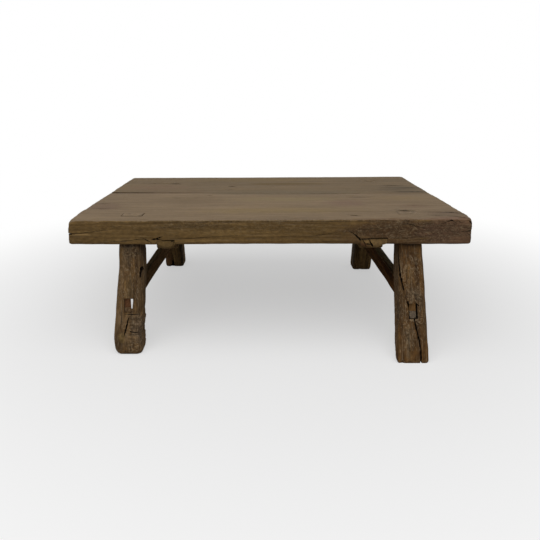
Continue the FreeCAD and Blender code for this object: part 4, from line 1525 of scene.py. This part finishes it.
legFinish = {
    "front_left": {
        "pith": (-30, 330),
        "wander": 30,
        "patches": (
            ((-358, -324, 43), (10, 18, 15), 0.4, 0.7, tone(128, 104, 62)),
            ((-320, -312, 60), (22, 30, 46), 0.6, 0.55, tone(122, 104, 84)),
            # a dark band at the head of the leg: painted shadow of the top
            ((-337, -280, 267), (44, 40, 13), 0.7, 0.95, tone(34, 20, 14)),
            ((-345, -296, 192), (10, 30, 22), 0.7, 0.6, tone(124, 88, 54)),
            ((-342, -300, 170), (14, 30, 60), 0.7, 0.4, tone(132, 106, 66)),
            ((-308, -270, 245), (10, 60, 34), 0.6, 0.5, tone(60, 40, 26)),
            ((-368, -310, 170), (9, 30, 100), 0.7, 0.5, tone(66, 50, 36)),
        ),
        "torn": (
            ((-322, -318, 66), (26, 30, 36), 0.5, 1, (20, 18, 15)),
            ((-334, -286, 250), (24, 26, 24), 0.6, 1, (15, 16, 26)),
            ((-330, -322, 20), (26, 30, 24), 0.7, 1, (18, 18, 22)),
            ((-350, -320, 66), (20, 30, 30), 0.8, 0.6, (16, 16, 30)),
            ((-336, -296, 190), (60, 60, 80), 0.4, 0.7, (10, 12, 30)),
            ((-336, -280, 246), (32, 40, 22), 0.6, 1, (11, 12, 18)),
        ),
        "knots": (((250, -286, 337), (17, 30, 10), 24),),
    },
    "front_right": {
        "sideDark": tone(76, 51, 23),
        "sideLight": tone(117, 82, 39),
        "sideLate": tone(138, 107, 66),
        "pith": (-20, -330),
        "wander": 26,
        "patches": (
            # a dark band at the head of the leg: painted shadow of the top
            ((342, -280, 267), (44, 40, 9), 0.7, 0.8, tone(34, 20, 12)),
            ((314, -322, 118), (12, 50, 64), 0.7, 0.8, tone(78, 55, 28)),
            ((360, -318, 124), (12, 50, 50), 0.7, 0.5, tone(84, 62, 36)),
            ((338.7, -345, 96.4), (12, 30, 2.4), 0.7, 0.8, tone(150, 128, 98)),
            ((350.4, -338, 112), (1.8, 30, 22), 0.7, 0.7, tone(146, 122, 92)),
            ((312, -290, 206), (8, 60, 60), 0.7, 0.4, tone(112, 88, 52)),
            ((334, -306, 200), (14, 30, 40), 0.7, 0.5, tone(132, 100, 56)),
            ((344, -320, 150), (26, 30, 24), 0.7, 0.4, tone(116, 102, 82)),
            ((326, -350, 52), (16, 30, 44), 0.7, 0.4, tone(120, 104, 80)),
            ((364, -335, 80), (10, 40, 80), 0.7, 0.3, tone(128, 98, 58)),
        ),
        "torn": (
            ((342, -322, 150), (28, 30, 24), 0.7, 0.8, (15, 15, 18)),
            ((328, -350, 48), (20, 30, 46), 0.6, 0.8, (14, 16, 50)),
            ((340, -300, 225), (30, 30, 50), 0.7, 0.6, (13, 16, 60)),
            ((341, -310, 130), (60, 90, 150), 0.3, 0.75, (10, 12, 26)),
        ),
        "knots": (((52, -350, -326), (34, 30, 11), 22),),
    },
    "rear_left": {
        "pith": (0, 380),
        "patches": (
            ((-366, 270, 30), (22, 60, 60), 0.5, 0.6, tone(104, 66, 38)),
            ((-312, 270, 60), (6, 60, 120), 0.5, 0.8, tone(44, 30, 16)),
        ),
    },
    "rear_right": {
        "pith": (0, -380),
        "patches": (
            ((306, 240, 60), (7, 60, 120), 0.5, 0.8, tone(40, 28, 16)),
            ((318, 240, 96), (16, 40, 30), 0.5, 0.5, tone(52, 38, 22)),
        ),
    },
}


def legMaterial(name, leg):
    # the grain follows the lean of the leg, and the tenon's end has the colour of the top
    lean = math.atan2(leg["shoulder"][1] - leg["foot"][1], topSizes["low"])
    look = dict(legLook if "front" in name else rearLegLook, **legFinish[name])
    endColour = boardLook["upperLight"] if "front" in name else rearBoardLook["upperLight"]
    end = (*leg["shoulder"], topSizes["high"]), (80, 80, 22), 0.1, 1, endColour
    look["patches"] = look["patches"] + (end,)
    return timberMaterial(look, "legTimber_" + name, (lean, quarter, 0))


stretcherMaterial = timberMaterial(stretcherLook, "stretcherTimber", (0, 0, -quarter))
wedgeLook = dict(
    legLook,
    sideRings=0.3,
    ringWidth=3,
    wander=8,
    sideDark=tone(84, 60, 36),
    sideLight=tone(110, 82, 52),
    patches=(((338.7, -345, 106), (26, 30, 30), 0.2, 1, tone(108, 94, 78)),),
)
wedgeMaterial = timberMaterial(wedgeLook, "wedgeTimber", (0, 0, -quarter), (40, 15, 5))

for name, leg in legSizes.items():
    blank = makeLeg(name, leg)
    material = legMaterial(name, leg)
    settle(blank, "leg_" + name + "_piece", (material, crackShadeAndDirt), ("leg_" + name,))
print("legs done")

for name, sizes in stretcherSizes.items():
    rail = makeStretcher(name, sizes)
    if name == "left":
        carve(rail, slantedSlot(legSizes["front_left"], **railSlot))
    node = "stretcher_" + name
    settle(rail, node + "_piece", (stretcherMaterial, crackShadeAndDirt), (node,))
    for place, end in (("front", -1), ("rear", 1)):
        legName = place + "_" + name
        wedge = makeFootWedge(sizes, legSizes[legName], end)
        if legName == "front_left":
            carve(wedge, slantedSlot(legSizes[legName], **railSlot))
        node = "tenon_wedge_" + legName
        settle(wedge, node + "_piece", (wedgeMaterial,), (node,))
print("stretchers done")

for name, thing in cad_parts.items():
    if name == "seam_pins" or name.startswith("head_wedge"):
        for slot in thing.material_slots:
            slot.material = wedgeMaterial


# camera, lamp, surroundings and floor, in metres

cameraSizes = {
    "spot": (-0.0105, -1.4064, 0.6204),
    "pitch": 11,
    "yaw": -1,
    "roll": 0.52,
    "focalPixels": 484.6,
    "centrePixels": (255.8, 188.8),
    "framePixels": 540,
}
lampSizes = {"spot": (-0.2, -1, 2), "target": (0, -0.05, 0.2), "size": (3, 2.4), "power": 33}


def makeCamera():
    sizes = cameraSizes
    data = bpy.data.cameras.new("camera")
    data.sensor_width = 36
    data.lens = 36 * sizes["focalPixels"] / sizes["framePixels"]
    data.shift_x = 0.5 - sizes["centrePixels"][0] / sizes["framePixels"]
    data.shift_y = sizes["centrePixels"][1] / sizes["framePixels"] - 0.5
    camera = bpy.data.objects.new("camera", data)
    bpy.context.scene.collection.objects.link(camera)
    turn = Matrix.Rotation(math.radians(-sizes["yaw"]), 4, "Z")
    turn = turn @ Matrix.Rotation(math.radians(90 - sizes["pitch"]), 4, "X")
    turn = turn @ Matrix.Rotation(math.radians(-sizes["roll"]), 4, "Z")
    camera.matrix_world = Matrix.Translation(sizes["spot"]) @ turn
    bpy.context.scene.camera = camera


def makeLamp():
    data = bpy.data.lights.new("softbox", "AREA")
    data.shape = "RECTANGLE"
    data.size, data.size_y = lampSizes["size"]
    data.energy = lampSizes["power"]
    lamp = bpy.data.objects.new("softbox", data)
    lamp.location = lampSizes["spot"]
    way = Vector(lampSizes["target"]) - lamp.location
    lamp.rotation_euler = way.to_track_quat("-Z", "Y").to_euler()
    bpy.context.scene.collection.objects.link(lamp)


def makeWorld():
    world = bpy.data.worlds.new("paleRoom")
    bpy.context.scene.world = world
    world.use_nodes = True
    tree = world.node_tree
    back = tree.nodes["Background"]
    path = addNode(tree, "LightPath", {}).outputs
    seen = most(path["Is Camera Ray"], path["Is Glossy Ray"], path["Is Transmission Ray"])
    plug((1, 1, 1, 1), back.inputs["Color"])
    plug(plus(times(seen, 0.75), 0.25), back.inputs["Strength"])


def makeFloor():
    shape = bmesh.new()
    bmesh.ops.create_circle(shape, cap_ends=True, radius=9, segments=96)
    mesh = bpy.data.meshes.new("floor")
    shape.to_mesh(mesh)
    shape.free()
    floor = bpy.data.objects.new("floor", mesh)
    bpy.context.scene.collection.objects.link(floor)
    material = bpy.data.materials.new("paleFloor")
    material.use_nodes = True
    tree = material.node_tree
    shader = tree.nodes["Principled BSDF"]
    seen = addNode(tree, "LightPath", {}).outputs["Is Camera Ray"]
    plug(mixed(seen, (0.35, 0.34, 0.33, 1), (0.9, 0.9, 0.9, 1)), shader.inputs["Base Color"])
    plug(0.9, shader.inputs["Roughness"])
    plug(0.0, shader.inputs["Specular IOR Level"])
    # seen from the camera, the floor fades into white away from the table
    glow = addNode(tree, "Emission", {"Color": (1, 1, 1, 1), "Strength": 1.0})
    place = addNode(tree, "TexCoord", {}).outputs["Object"]
    share = times(ramp(vectors("LENGTH", place), 0.5, 1.5, 0.5, 1.0), seen)
    joined = addNode(tree, "MixShader", {0: share, 1: shader.outputs[0], 2: glow.outputs[0]})
    plug(joined.outputs[0], tree.nodes["Material Output"].inputs["Surface"])
    mesh.materials.append(material)


makeCamera()
makeWorld()
makeFloor()
makeLamp()
bpy.context.scene.view_settings.view_transform = "Standard"

print("scene ready")
